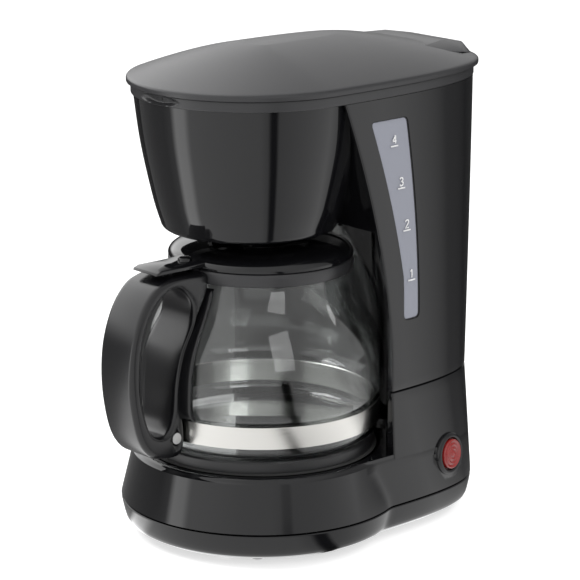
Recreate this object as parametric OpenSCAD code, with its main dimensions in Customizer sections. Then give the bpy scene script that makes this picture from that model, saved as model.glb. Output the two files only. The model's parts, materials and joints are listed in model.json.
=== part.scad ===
// Drip coffee maker for four cups, with a glass carafe on a warming plate. Millimetres.
// Every piece is drawn round the carafe's axis, with z = 0 on the table, the handle
// towards -Y and the water gauge towards +X. place() then moves the whole machine so
// that the origin lies under the middle of its outline.

/* [Base] */
// Height of the rubber feet below the bottom cover
foot_h = 2.5; // [2:0.5:4]
// Radius of a rubber foot
foot_r = 4.7; // [4:0.1:6]
// Height of the bottom cover, up to its seam with the base shell
cover_h = 16; // [14:0.5:18]
// Radius of the round base at that seam
base_r = 74.5; // [73:0.5:77]
// Height of the base shell's skirt above the seam
skirt_h = 28; // [26:0.5:34]
// Radius of the skirt's top edge
skirt_top_r = 67.5; // [66.5:0.5:70]
// Wall of the plastic shells
wall = 2.4; // [2:0.1:2.8]

/* [Warming plate] */
// Radius of the warming plate
plate_r = 60; // [58:0.5:61]
// Height of the plate's face above the base shell's deck
plate_rise = 7; // [6:0.5:9]
// Thickness of the plate's sheet
plate_t = 1.6; // [1.2:0.1:2]
// Mean radius of the water tube under the plate
tube_ring_r = 34; // [32:0.5:35]
// Outer radius of the water tube
tube_r = 5; // [4.6:0.1:5.4]
// Radius of the heating rod beside it
rod_r = 3.4; // [3:0.1:3.8]

/* [Tower] */
// Width of the tower at its top
tower_top_w = 124; // [122:0.5:127]
// Width of the tower at the seam halfway up
tower_mid_w = 128; // [126:0.5:131]
// Width of the tower at the base seam
tower_base_w = 134.5; // [132:0.5:138]
// How far the tower's top reaches behind the carafe's axis
tower_top_back = 127.7; // [124:0.5:132]
// How far it reaches back at the seam halfway up
tower_mid_back = 116.5; // [114:0.5:120]
// How far it reaches back at the base seam
tower_base_back = 118; // [115:0.5:123]
// Height of the seam halfway up, above the deck
mid_rise = 33.5; // [30:0.5:38]
// Gap between the carafe's belly and the tower's hollow front
bay_gap = 6; // [5:0.5:7]
// Where the wings' front edges stand at the bottom, behind the carafe's axis
wing_low_y = 35.5; // [33:0.5:38]
// How far the wings' front edges sweep forward on the way up
wing_sweep = 33; // [28:0.5:36]

/* [Carafe] */
// Radius of the carafe at its widest
carafe_r = 65.5; // [64:0.5:67]
// Radius of the glass neck
neck_r = 44.5; // [43:0.5:46]
// Height of the glass, from the plate to its lip
glass_h = 95; // [92:0.5:100]
// Height of the widest place above the plate
belly_h = 26; // [24:0.5:29]
// Wall of the glass
glass_t = 1.8; // [1.5:0.1:2.2]
// Radius of the glass inside the steel band
band_r = 62.4; // [61.5:0.1:63]
// Height of the steel band
band_h = 11.7; // [9:0.1:13]
// Height of the band's lower edge above the plate
band_rise = 7.5; // [7:0.1:9]
// Thickness of the steel band
band_t = 0.6; // [0.5:0.1:0.8]
// Height of the plastic collar round the neck
collar_h = 7; // [6:0.5:8]
// Wall of that collar
collar_t = 4; // [3.5:0.1:4.5]

/* [Carafe handle] */
// Width of the handle
handle_w = 27; // [25:0.5:29]
// How far the grip reaches beyond the carafe's belly
handle_reach = 32; // [30:0.5:35]
// Thickness of the grip in the middle
grip_t = 7; // [6:0.5:8]
// Half the angle that the handle's saddle wraps round the glass
saddle_angle = 18; // [16:0.5:20]
// Thickness of the saddle
saddle_t = 3.4; // [3:0.1:4]

/* [Carafe lid] */
// Height of the carafe lid's dome above the collar
dome_h = 7.8; // [7.5:0.1:9]
// Width of the lug that hinges the lid between the handle's cheeks
lug_w = 15; // [13:0.5:16]
// Radius of the lid's hinge pin
lid_pin_r = 1.6; // [1.4:0.1:1.8]
// How far the thumb plate reaches from the carafe's axis
thumb_reach = 78; // [75:0.5:82]
// Width of the thumb plate
thumb_w = 20; // [18:0.5:22]

/* [Brew head] */
// Height of the brew head
head_h = 71; // [68:0.5:78]
// Radius of the brew head at its top
head_top_r = 60; // [58.6:0.1:61]
// Radius of the brew head at its floor
head_floor_r = 46.5; // [45:0.5:48]
// How far the head's axis stands in front of the carafe's axis
head_shift = 7.5; // [6.5:0.5:8.5]
// Gap between the carafe lid and the head's floor
head_gap = 7.8; // [7.5:0.1:10]
// Radius of the skirt round the coffee outlet
outlet_skirt_r = 28; // [26:0.5:30]
// Depth of that skirt
outlet_skirt_h = 4; // [3.5:0.1:4.4]

/* [Filter] */
// Wall of the filter basket
basket_t = 1.6; // [1.4:0.1:1.8]
// Gap between the basket and the brew head
basket_gap = 0.8; // [0.6:0.1:1]
// Radius of the coffee outlet's tube
outlet_r = 9; // [8.5:0.1:9.5]
// Travel of the drip valve
valve_travel = 3; // [2.5:0.1:3.2]
// Radius of the drip valve's stem
stem_r = 2.2; // [1.8:0.1:2.6]

/* [Top] */
// Height of the top rim's band
rim_h = 5.5; // [5:0.1:7]
// How far the lid stands out past the tower
rim_out = 2.6; // [2:0.1:3.4]
// How far the rim's band stands in from the lid's edge
rim_in = 2.3; // [1.5:0.1:2.6]
// How far the lid reaches in front of the carafe's axis
lid_front = 71; // [69.5:0.5:73]
// Height of the lid's straight edge
lid_edge_h = 3; // [2.5:0.1:4]
// Height of the lid's crown above that edge
crown_h = 17; // [15:0.1:18]
// Fullness of the crown: 1 is a straight slope, 2 is a round one
crown_round = 1.5; // [1.3:0.1:2]
// How fast the crown rises from the front, against the sides
crown_front = 1.14; // [1:0.01:1.15]
// How fast the crown rises from the back, against the sides
crown_back = 1.45; // [1.3:0.01:1.5]
// Wall of the lid
lid_t = 2; // [1.6:0.1:2.2]
// Width of the raised flat over the hinge, at its front
hump_w = 64; // [60:1:70]
// Radius of the lid's hinge knuckles
knuckle_r = 3.2; // [2.9:0.1:3.4]
// Radius of the lid's hinge pin
hinge_pin_r = 1.4; // [1.2:0.1:1.6]

/* [Water] */
// Wall of the water tank
tank_t = 1.6; // [1.4:0.1:1.8]
// Gap between the tank and the tower
tank_gap = 0.8; // [0.6:0.1:1]
// Radius of the hose spigots
spigot_r = 4.8; // [4.6:0.1:5]
// Wall of the silicone hoses
hose_t = 1.8; // [1.6:0.1:2]
// Radius of the bore through the spigots and pipes
flow_r = 3.3; // [3:0.1:3.5]
// Radius of the check valve's ball
ball_r = 3.2; // [3:0.1:3.3]
// Travel of that ball
ball_travel = 3; // [2:0.1:3.5]
// Height of the gauge window's lower end
window_low_z = 117; // [114:0.5:122]
// Height of the gauge window's upper end
window_high_z = 225; // [220:0.5:227]
// Distance from the wing's front edge to the window
window_margin = 13; // [11:0.5:14]
// Thickness of the gauge window
window_t = 1.6; // [1.2:0.1:1.8]

/* [Switch] */
// Outer radius of the switch's bezel
bezel_r = 11.5; // [10.5:0.1:12.5]
// Radius of the push button
button_r = 8; // [7:0.1:8.4]
// Travel of the button
button_travel = 2.5; // [2:0.1:3]
// How far the switch stands behind the carafe's axis
switch_y = 79; // [77:0.5:81]
// Height of the switch above the base seam
switch_rise = 19; // [18:0.5:21]

/* [Cord inlet] */
// Radius of the hole for the power cord
cord_r = 3.4; // [3:0.1:4]
// Outer radius of the cord bush's flange
bush_r = 8; // [7.5:0.1:9]
// Height of the cord inlet above the bottom cover's underside
inlet_rise = 25.5; // [23:0.5:28]

/* [Fasteners] */
// Radius of a screw's shank
screw_r = 1.4; // [1.2:0.1:1.6]
// Radius of a screw's head
screw_head_r = 3; // [2.6:0.1:3.2]
// Thickness of a screw's head
screw_head_t = 1.8; // [1.5:0.1:2]
// Length of a screw's shank
screw_l = 10; // [9:0.5:12]

/* [Hidden] */

$fn = 96;
eps = 0.01;              // overlap that lets two solids join or a cut break through
far = 400;               // longer than the machine, for cuts that run right through
fit = 0.05;              // radial clearance of a pin, screw or hose spigot in its hole
play = 0.3;              // gap between pieces that move against each other
plan_step = 6;           // degrees between the points of a plan outline
curve_steps = 8;         // points in each quarter of a profile curve
elbow_swell = 1.04;      // how much a pipe swells in its corners

BLACK = [0.06, 0.06, 0.07];
SATIN = [0.16, 0.16, 0.17];
RUBBER = [0.10, 0.10, 0.10];
GLASS = [0.85, 0.90, 0.92, 0.35];
SMOKE = [0.58, 0.60, 0.64, 0.8];
MILKY = [0.86, 0.88, 0.90, 0.6];
STEEL = [0.78, 0.78, 0.76];
ALUMINIUM = [0.70, 0.71, 0.73];
BRASS = [0.78, 0.65, 0.35];
RED = [0.65, 0.05, 0.05];
WHITE = [0.92, 0.92, 0.92];
SILICONE = [0.88, 0.86, 0.82];

// Heights, from the table up
seam_z = foot_h + cover_h;
deck_z = seam_z + skirt_h;
mid_z = deck_z + mid_rise;
plate_z = deck_z + plate_rise;
glass_z = plate_z + play;
lip_z = glass_z + glass_h;
collar_top_z = lip_z + 0.3;
dome_z = collar_top_z + play + dome_h;
head_z = dome_z + head_gap;
rim_z = head_z + head_h;
rim_top_z = rim_z + rim_h;
lid_z = rim_top_z + play;
lid_edge_z = lid_z + lid_edge_h;
crown_z = lid_edge_z + crown_h;

// Tower outline: each section is [half width, reach back, squareness of the rear corners]
plan_y = -5.3;           // where the tower and the lid are widest
TOP_SECTION = [tower_top_w / 2, tower_top_back, 3];
MID_SECTION = [tower_mid_w / 2, tower_mid_back, 3.8];
BASE_SECTION = [tower_base_w / 2, tower_base_back, 4.2];
tower_front = 50;        // front reach of a section, hidden inside the round base
lid_half_w = tower_top_w / 2 + rim_out;
lid_back = tower_top_back + rim_out;
bay_r = carafe_r + bay_gap;
wing_x = tower_top_w / 2 - wall + 0.1;
wing_start_z = deck_z + 48.5;
wing_power = 1.7;        // how sharply the wings' edges sweep forward
partition_z = mid_z - wall;

// Signed power, for superellipses
function spow(v, p) = sign(v) * pow(abs(v), p);

// Closed plan outline: an ellipse in front of plan_y and a squarer curve behind it
function plan(half_w, front, back, square) =
    [for (a = [0:plan_step:360 - plan_step])
        let (power = a < 180 ? square : 2, reach = a < 180 ? back - plan_y : front + plan_y)
        [half_w * spow(cos(a), 2 / power), plan_y + reach * spow(sin(a), 2 / power)]];
function section_plan(s, inset = 0) = plan(s[0] - inset, tower_front, s[1] - inset, s[2]);
function lid_plan(inset = 0) =
    plan(lid_half_w - inset, lid_front - inset, lid_back - inset, TOP_SECTION[2]);

// Tower section at a height, and the y and x of its skin
function mix(a, b, t) = a + (b - a) * t;
function section_at(z) = z < mid_z
    ? mix(BASE_SECTION, MID_SECTION, (z - seam_z) / (mid_z - seam_z))
    : mix(MID_SECTION, TOP_SECTION, (z - mid_z) / (rim_z - mid_z));
function skin_x(y, z) = let (s = section_at(z))
    s[0] * pow(1 - pow((y - plan_y) / (s[1] - plan_y), s[2]), 1 / s[2]);
function skin_y(x, z) = let (s = section_at(z))
    plan_y + (s[1] - plan_y) * pow(1 - pow(abs(x) / s[0], s[2]), 1 / s[2]);

// Front edge of the wings at a height
function wing_y(z) = z < wing_start_z ? wing_low_y
    : wing_low_y - wing_sweep * pow((z - wing_start_z) / (rim_z - wing_start_z), wing_power);

// Points on an arc
function arc(x, y, r, from, to, steps = curve_steps) =
    [for (i = [0:steps]) let (a = from + (to - from) * i / steps) [x + r * cos(a), y + r * sin(a)]];

// Smooth closed curve through a ring of points
function knot(p, i) = p[(i + len(p)) % len(p)];
function smooth_ring(p, steps = 5) =
    [for (i = [0:len(p) - 1], k = [0:steps - 1])
        let (t = k / steps, a = knot(p, i - 1), b = p[i], c = knot(p, i + 1), d = knot(p, i + 2))
        0.5 * (2 * b + (c - a) * t + (2 * a - 5 * b + 4 * c - d) * t * t
            + (3 * b - a - 3 * c + d) * t * t * t)];

module place() {
    translate([0, -(lid_back - carafe_r - handle_reach) / 2, 0])
        children();
}

// Solid through a list of [height, outline] sections, from the lowest to the highest
module loft(sections) {
    n = len(sections[0][1]);
    top = n * (len(sections) - 1);
    polyhedron(points = [for (s = sections, p = s[1]) [p[0], p[1], s[0]]],
        faces = concat([[for (i = [0:n - 1]) i]], [[for (i = [n - 1:-1:0]) top + i]],
            [for (k = [0:n:top - n], i = [0:n - 1]) [k + i, k + n + i, k + n + (i + 1) % n]],
            [for (k = [0:n:top - n], i = [0:n - 1]) [k + i, k + n + (i + 1) % n, k + (i + 1) % n]]));
}

module tube(r, bore, h) {
    difference() {
        cylinder(r = r, h = h);
        translate([0, 0, -1])
            cylinder(r = bore, h = h + 2);
    }
}

// Outline in Y and Z, as wide as w along X
module side_plate(w, outline) {
    translate([-w / 2, 0, 0])
        rotate([90, 0, 90])
            linear_extrude(w)
                polygon(outline);
}

// Screw standing on its head at the origin, shank towards +Z
module screw() {
    difference() {
        cylinder(r = screw_head_r, h = screw_head_t);
        for (a = [0, 90])
            rotate([0, 0, a])
                translate([-screw_head_r / 2, -0.4, -1])
                    cube([screw_head_r, 0.8, screw_head_t * 0.4 + 1]);
    }
    translate([0, 0, screw_head_t - eps])
        cylinder(r = screw_r, h = screw_l);
}

// Pipe along a path of straight runs with round corners
module pipe_run(path, r) {
    for (i = [0:len(path) - 2]) {
        step = path[i + 1] - path[i];
        length = norm(step);
        translate(path[i])
            rotate([0, acos(step[2] / length), atan2(step[1], step[0])])
                cylinder(r = r, h = length);
    }
    for (i = [1:1:len(path) - 2])
        translate(path[i])
            sphere(r = r * elbow_swell);
}

// ---- Base ----

foot_spots = [[-39, -36], [39, -36], [-51, 31], [51, 31], [-30, 96], [30, 96]];
cover_floor_r = base_r - 13.8;
// Cover's lower edge: height above its underside, how far the round part and the tower's
// part stand in from the seam, and whether the inside follows at the wall's height
COVER_EDGE = [[2.5, 6.5, 5, 1], [4, 3.7, 2.8, 1], [8.7, 1.7, 1.3, 0]];
cover_boss_z = foot_h + 6;
cover_screw_spots = [for (s = [-1, 1]) each [[s * 27.5, -48], [s * 42, 90]]];
screw_sink = 1;          // how far the cover screws' heads sit above the cover's underside
boss_r = 4;

module cover_mass(inset) {
    rotate_extrude()
        polygon(concat([[0, foot_h + inset], [cover_floor_r, foot_h + inset]],
            [for (e = COVER_EDGE) [base_r - e[1] - inset, foot_h + e[0] + e[3] * inset]],
            [[base_r - inset, seam_z], [0, seam_z]]));
    loft(concat([[foot_h + inset, section_plan(BASE_SECTION, 11)]],
        [for (e = COVER_EDGE) [foot_h + e[0] + e[3] * inset, section_plan(BASE_SECTION, e[2] + inset)]],
        [[seam_z, section_plan(BASE_SECTION, inset)]]));
}

module bottom_cover() {
    color(BLACK)
        difference() {
            union() {
                difference() {
                    cover_mass(0);
                    translate([0, 0, eps])
                        cover_mass(wall);
                }
                for (p = cover_screw_spots)
                    translate([p[0], p[1], foot_h])
                        cylinder(r = screw_head_r + 1.8, h = cover_boss_z - foot_h);
            }
            for (p = cover_screw_spots)
                translate([p[0], p[1], 0]) {
                    cylinder(r = screw_head_r + 0.4, h = foot_h + screw_sink + screw_head_t);
                    cylinder(r = screw_r + fit, h = seam_z);
                }
            for (p = foot_spots)
                translate([p[0], p[1], 0])
                    cylinder(r = foot_r / 2 + fit, h = seam_z);
            // Cooling slots under the heater
            for (x = [-20:10:20])
                translate([x - 1.5, -22, 0])
                    cube([3, 44, foot_h + 2 * wall]);
        }
}

module rubber_feet() {
    color(RUBBER)
        for (p = foot_spots)
            translate([p[0], p[1], 0]) {
                cylinder(r = foot_r, h = foot_h);
                cylinder(r = foot_r / 2, h = foot_h + wall + 1);
                translate([0, 0, foot_h + wall + fit])
                    cylinder(r = foot_r / 2 + 1, h = 1.2);
            }
}

module cover_screws() {
    color(STEEL)
        for (p = cover_screw_spots)
            translate([p[0], p[1], foot_h + screw_sink])
                screw();
}

seal_h = 0.8;            // thickness of the silicone seal under the plate's rim
plate_hole_r = plate_r - 4.5;
tank_pipe = [-24, 93];   // where the tank's outlet comes down
riser_y = bay_r + wall + 8.2;
tower_screw_spots = [for (s = [-1, 1]) each [[s * 48.8, 60.2], [s * 33.5, 107.2]]];
pipe_hole_r = spigot_r + fit + hose_t + 1.2;
switch_z = seam_z + switch_rise;
switch_x = skin_x(switch_y, switch_z);
switch_turn = atan2(skin_x(switch_y - 2, switch_z) - skin_x(switch_y + 2, switch_z), 4);
switch_lift = atan2(skin_x(switch_y, switch_z - 2) - skin_x(switch_y, switch_z + 2), 4);
inlet_z = foot_h + inlet_rise;
inlet_y = skin_y(0, inlet_z);

module skirt_mass(inset) {
    round_r = 2.5;
    rotate_extrude()
        polygon(concat([[0, seam_z], [base_r - inset, seam_z]],
            arc(skirt_top_r - round_r, deck_z - round_r, round_r - min(inset, round_r - 0.2), 15, 90, 4),
            [[0, deck_z - min(inset, round_r - 0.2)]]));
}

// What the tower leaves free in front: the carafe's bay between the wings, and
// everything ahead of the wings' edges
module bay_cut() {
    intersection() {
        translate([0, 0, deck_z])
            cylinder(r = bay_r, h = far);
        translate([-wing_x, -far / 2, deck_z])
            cube([2 * wing_x, far, far]);
    }
    side_plate(far, wing_outline(0, deck_z, rim_z + 1));
}

// Side outline of everything ahead of the wings' edges, with those edges moved back by a margin
function wing_outline(margin, low_z, high_z, steps = 16) =
    concat([[-far, high_z], [-far, low_z]],
        [for (i = [0:steps]) let (z = mix(low_z, high_z, i / steps)) [wing_y(z) + margin, z]]);

module at_switch() {
    translate([switch_x, switch_y, switch_z])
        rotate([0, 0, switch_turn])
            rotate([0, 90 - switch_lift, 0])
                children();
}

module base_shell() {
    color(BLACK)
        difference() {
            union() {
                difference() {
                    union() {
                        skirt_mass(0);
                        difference() {
                            loft([[seam_z, section_plan(BASE_SECTION)],
                                [mid_z, section_plan(MID_SECTION)]]);
                            bay_cut();
                        }
                    }
                    translate([0, 0, -eps])
                        skirt_mass(wall);
                    difference() {
                        loft([[seam_z - 1, section_plan(BASE_SECTION, wall)],
                            [partition_z, section_plan(MID_SECTION, wall)]]);
                        translate([0, 0, deck_z - wall])
                            cylinder(r = bay_r + wall, h = far);
                    }
                }
                for (i = [0:3])
                    translate([cover_screw_spots[i][0], cover_screw_spots[i][1], cover_boss_z])
                        cylinder(r = boss_r, h = (i % 2 == 0 ? deck_z : mid_z) - 1 - cover_boss_z);
            }
            translate([0, 0, deck_z - 2 * wall])
                cylinder(r = plate_hole_r, h = far);
            for (p = cover_screw_spots)
                translate([p[0], p[1], 0])
                    cylinder(r = screw_r + fit, h = cover_boss_z + screw_l);
            for (p = [tank_pipe, [0, riser_y]])
                translate([p[0], p[1], partition_z - 1])
                    cylinder(r = pipe_hole_r, h = far);
            for (p = tower_screw_spots)
                translate([p[0], p[1], partition_z - 1])
                    cylinder(r = screw_r + fit, h = far);
            at_switch()
                union() {
                    translate([0, 0, -15])
                        cylinder(r = bezel_barrel_r + fit, h = far);
                    translate([0, 0, -bezel_sink - play])
                        cylinder(r = bezel_r + play, h = far);
                }
            translate([0, inlet_y, inlet_z])
                rotate([-90, 0, 0]) {
                    cylinder(r = bush_r + play, h = far);
                    translate([0, 0, -20])
                        cylinder(r = bush_body_r + fit, h = far);
                }
        }
}

// ---- Warming plate and heater ----

plate_under_z = plate_z - plate_t;
web_t = 1.7;             // web that joins the water tube to the plate
web_z = plate_under_z - 0.2 - web_t;
tube_z = web_z - tube_r + 1.2;
rod_ring_r = tube_ring_r + tube_r + rod_r + 1.4;
rod_z = web_z - rod_r;
heater_gap_a = 50;       // half the angle left open behind, between the tube's two ends
clamp_y = -10;
clamp_t = 2;
clamp_z = tube_z - tube_r - clamp_t;
clamp_half_l = 54.5;
stud_r = 2;

module warming_plate() {
    color(BLACK) {
        rotate_extrude()
            polygon([[0, plate_under_z], [plate_r - plate_t - 1, plate_under_z],
                [plate_r - plate_t, plate_under_z - 1], [plate_r - plate_t, deck_z + seal_h],
                [plate_r, deck_z + seal_h], [plate_r, plate_z - 1.2], [plate_r - 1.2, plate_z],
                [0, plate_z]]);
        for (s = [-1, 1])
            translate([s * (clamp_half_l - 5), clamp_y, clamp_z - 5])
                cylinder(r = stud_r, h = plate_under_z - clamp_z + 5 + eps);
    }
}

module plate_seal() {
    color(RUBBER)
        rotate_extrude()
            polygon([[plate_hole_r - 1.6, deck_z - wall], [plate_hole_r - fit, deck_z - wall],
                [plate_hole_r - fit, deck_z], [plate_r + 1.6, deck_z], [plate_r + 1.6, deck_z + seal_h],
                [plate_hole_r - 1.6, deck_z + seal_h]]);
}

// Horseshoe ring, open behind
module horseshoe() {
    rotate([0, 0, 90 + heater_gap_a])
        rotate_extrude(angle = 360 - 2 * heater_gap_a)
            children();
}

function tube_end(s) = [s * tube_ring_r * sin(heater_gap_a), tube_ring_r * cos(heater_gap_a)];

module water_tube() {
    color(ALUMINIUM)
        difference() {
            union() {
                horseshoe()
                    translate([tube_ring_r, tube_z])
                        circle(r = tube_r);
                horseshoe()
                    translate([tube_ring_r - 12, web_z])
                        square([rod_ring_r - tube_ring_r + 12 + rod_r, web_t]);
                for (s = [-1, 1])
                    translate([tube_end(s)[0], tube_end(s)[1], tube_z - 17])
                        cylinder(r = spigot_r, h = 17 + web_z - tube_z + web_t / 2);
            }
            horseshoe()
                translate([tube_ring_r, tube_z])
                    circle(r = flow_r);
            for (s = [-1, 1])
                translate([tube_end(s)[0], tube_end(s)[1], tube_z - 18])
                    cylinder(r = flow_r, h = 18 + flow_r - 0.3);
        }
}

module heating_rod() {
    color(STEEL) {
        horseshoe()
            translate([rod_ring_r, rod_z])
                circle(r = rod_r);
        for (s = [-1, 1])
            rotate([0, 0, 90 + s * heater_gap_a])
                translate([rod_ring_r, s * 0.5, rod_z])
                    rotate([s * 90, 0, 0])
                        cylinder(r = rod_r / 2, h = 7.5);
    }
}

module heater_clamp() {
    color(STEEL)
        difference() {
            translate([-clamp_half_l, clamp_y - 7, clamp_z])
                cube([2 * clamp_half_l, 14, clamp_t]);
            for (s = [-1, 1])
                translate([s * (clamp_half_l - 5), clamp_y, 0])
                    cylinder(r = stud_r + fit, h = far);
        }
}

module clamp_nuts() {
    color(STEEL)
        for (s = [-1, 1])
            translate([s * (clamp_half_l - 5), clamp_y, clamp_z - 3.2])
                difference() {
                    cylinder(r = 4, h = 3.2, $fn = 6);
                    translate([0, 0, -1])
                        cylinder(r = stud_r + fit, h = 6);
                }
}

module thermostat() {
    color(ALUMINIUM)
        translate([0, clamp_y, clamp_z + clamp_t]) {
            cylinder(r = 7, h = plate_under_z - clamp_z - clamp_t);
            for (s = [-1, 1])
                translate([s * 9 - 2.5, -2, 2])
                    cube([5, 4, 0.8]);
        }
}

module thermal_fuses() {
    color(WHITE)
        for (a = [225, 315])
            rotate([0, 0, a])
                translate([tube_ring_r - 8.4, 0, web_z - 2])
                    rotate([90, 0, 0])
                        cylinder(r = 2, h = 12, center = true);
}

// ---- Water path ----

tank_z = mid_z + 12;
hose_r = spigot_r + fit + hose_t;
valve_z = mid_z - 36;    // underside of the check valve's barrel
barrel_r = 7.2;
barrel_h = 2 * ball_r + ball_travel + 5;
ball_z = valve_z + 2.2 + ball_r;
spigot_l = 10;
low_run_z = seam_z + 4;
function in_hose_path() = [[tube_end(-1)[0], tube_end(-1)[1], tube_z - 8],
    [tube_end(-1)[0], tube_end(-1)[1], low_run_z], [tank_pipe[0], tank_pipe[1], low_run_z],
    [tank_pipe[0], tank_pipe[1], valve_z - 1]];
function riser_path() = [[tube_end(1)[0], tube_end(1)[1], tube_z - 8],
    [tube_end(1)[0], tube_end(1)[1], low_run_z], [0, riser_y, low_run_z],
    [0, riser_y, mid_z + 20]];

module hose(path) {
    difference() {
        pipe_run(path, hose_r);
        pipe_run(path, flow_r + 0.6);
        for (end = [0, len(path) - 1])
            translate([path[end][0], path[end][1], path[end][2] - spigot_l + (end == 0 ? 0 : 1)])
                cylinder(r = spigot_r + fit, h = spigot_l + (end == 0 ? 1 : 0));
    }
}

module tank_hose() {
    color(SILICONE)
        translate([tank_pipe[0], tank_pipe[1], valve_z + barrel_h + 0.5])
            tube(hose_r, spigot_r + fit, tank_z - 4 - valve_z - barrel_h);
}

module check_valve_body() {
    color(MILKY)
        translate([tank_pipe[0], tank_pipe[1], 0])
            difference() {
                union() {
                    translate([0, 0, valve_z])
                        cylinder(r = barrel_r, h = barrel_h);
                    translate([0, 0, valve_z - spigot_l])
                        cylinder(r = spigot_r, h = barrel_h + 2 * spigot_l);
                }
                translate([0, 0, ball_z - ball_r])
                    cylinder(r = ball_r + 0.4, h = 2 * ball_r + ball_travel + fit);
                translate([0, 0, valve_z - spigot_l - 1])
                    cylinder(r = flow_r - 0.9, h = far);
                for (end = [valve_z - spigot_l - 1, ball_z + ball_r + ball_travel + 3])
                    translate([0, 0, end])
                        cylinder(r = flow_r, h = spigot_l);
            }
}

module check_ball() {
    color(STEEL)
        translate([tank_pipe[0], tank_pipe[1], ball_z + fit / 2])
            sphere(r = ball_r);
}

module inlet_hose() {
    color(SILICONE)
        hose(in_hose_path());
}

module riser_hose() {
    color(SILICONE)
        hose(riser_path());
}

spout_z = rim_z + wall + 7.1;

module riser_pipe() {
    color(MILKY)
        translate([0, riser_y, mid_z + 11])
            tube(spigot_r, flow_r, rim_z - mid_z - 11);
}

module water_spout() {
    path = [[0, riser_y, rim_z - 8], [0, riser_y, spout_z], [0, 16, spout_z], [0, 10, spout_z - 4]];
    color(BLACK)
        difference() {
            union() {
                pipe_run(path, flow_r + 1.2);
                translate([0, riser_y, rim_z - 8])
                    cylinder(r = spigot_r + fit + 1.2, h = 8 + wall);
                translate([0, riser_y, rim_z + wall])
                    cylinder(r = 9, h = 1.2);
            }
            pipe_run(path, flow_r);
            translate([0, riser_y, rim_z - 9])
                cylinder(r = spigot_r + fit, h = 9.3);
        }
}

// ---- Tower ----

tank_horn_y = 50;        // how far forward the tank's two horns reach
tower_boss_h = 12;

// Tower above the seam, drawn in by an inset, from a little below to a little above
module tower_mass(inset, below = 0, above = 0) {
    loft([[mid_z - below, section_plan(MID_SECTION, inset)],
        [rim_z + above, section_plan(TOP_SECTION, inset)]]);
}

module tower_shell() {
    color(BLACK)
        difference() {
            union() {
                difference() {
                    tower_mass(0);
                    bay_cut();
                    difference() {
                        tower_mass(wall, 1, 1);
                        translate([0, 0, mid_z - 1])
                            cylinder(r = bay_r + wall, h = far);
                    }
                }
                for (p = tower_screw_spots)
                    translate([p[0], p[1], mid_z])
                        cylinder(r = boss_r, h = tower_boss_h);
            }
            for (p = tower_screw_spots)
                translate([p[0], p[1], mid_z - 1])
                    cylinder(r = screw_r + fit, h = screw_l + 1);
            window_prism(0);
        }
}

module tower_screws() {
    color(STEEL)
        for (p = tower_screw_spots)
            translate([p[0], p[1], partition_z - screw_head_t])
                screw();
}

module tank_cut(extra) {
    translate([0, 0, mid_z])
        cylinder(r = bay_r + wall + tank_gap + extra, h = far);
    translate([-far / 2, -far, mid_z])
        cube([far, far + tank_horn_y + extra, far]);
    translate([-hose_r - tank_gap - extra, 0, mid_z])
        cube([2 * (hose_r + tank_gap + extra), riser_y + hose_r + tank_gap + extra, far]);
}

module water_tank() {
    inset = wall + tank_gap;
    color(MILKY)
        difference() {
            union() {
                difference() {
                    loft([[tank_z, section_plan(MID_SECTION, inset)],
                        [rim_z - play, section_plan(TOP_SECTION, inset)]]);
                    tank_cut(0);
                }
                translate([tank_pipe[0], tank_pipe[1], tank_z - 14])
                    cylinder(r = spigot_r, h = 15);
            }
            difference() {
                loft([[tank_z + tank_t, section_plan(MID_SECTION, inset + tank_t)],
                    [rim_z + 1, section_plan(TOP_SECTION, inset + tank_t)]]);
                tank_cut(tank_t);
            }
            translate([tank_pipe[0], tank_pipe[1], tank_z - 15])
                cylinder(r = flow_r, h = far);
        }
}

// ---- Water gauge ----

window_steps = 10;
seal_w = 1;              // width of the seal round the window
mark_w = 5.8;
mark_t = 0.25;
mark_heights = [138, 165, 187.8, 210.5];

function window_front_y(z) = min(wing_low_y + 8.5, wing_y(z) + window_margin);
function window_back_y(z) = 56 - 9.5 * pow(max(0, (z - window_low_z - 9) / 99), 1.8);

// Prism that the window is cut with, drawn in by an inset
module window_prism(inset) {
    low = window_low_z + inset;
    high = window_high_z - inset;
    translate([far / 2, 0, 0])
        side_plate(far, concat(
            [for (i = [0:window_steps]) let (z = mix(low, high, i / window_steps))
                [window_front_y(z) + inset, z]],
            [for (i = [window_steps:-1:0]) let (z = mix(low, high, i / window_steps))
                [window_back_y(z) - inset, z]]));
}

// Layer of the tower's skin between two depths
module skin(from, to) {
    difference() {
        tower_mass(from);
        tower_mass(to, 1, 1);
    }
}

module level_window() {
    color(SMOKE)
        intersection() {
            skin(0.3, 0.3 + window_t);
            window_prism(seal_w);
        }
}

module window_seal() {
    color(RUBBER)
        difference() {
            intersection() {
                skin(0.4, 0.3 + window_t);
                window_prism(0);
            }
            window_prism(seal_w);
        }
}

module level_marks() {
    color(WHITE)
        for (z = mark_heights) {
            middle = (window_front_y(z) + window_back_y(z)) / 2;
            intersection() {
                skin(0.3 - mark_t, 0.28);
                translate([0, middle - mark_w / 2, z - 0.4])
                    cube([far, mark_w, 0.8]);
            }
        }
}

// ---- Brew head and top ----

head_floor_t = 2.4;
outlet_hole_r = outlet_r + 0.4;
basket_z = head_z + head_floor_t + 0.4;
rim_hole_r = wing_x - play - wall - 1.5;
basket_rim_r = rim_hole_r + 1.8;
head_screw_spots = [[-44, 42], [44, 42]];

// Profile of the brew head's cone, drawn in by an inset
function head_profile(inset) = let (floor_round = 4) concat(
    [[0, head_z + inset]],
    arc(head_floor_r - floor_round, head_z + floor_round, floor_round - min(inset, floor_round - 0.5),
        -90, -12, 5),
    [[mix(head_floor_r, head_top_r, 0.29) - inset, head_z + 16.5],
        [mix(head_floor_r, head_top_r, 0.74) - inset, head_z + 45],
        [head_top_r - inset, rim_z], [0, rim_z]]);

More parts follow.
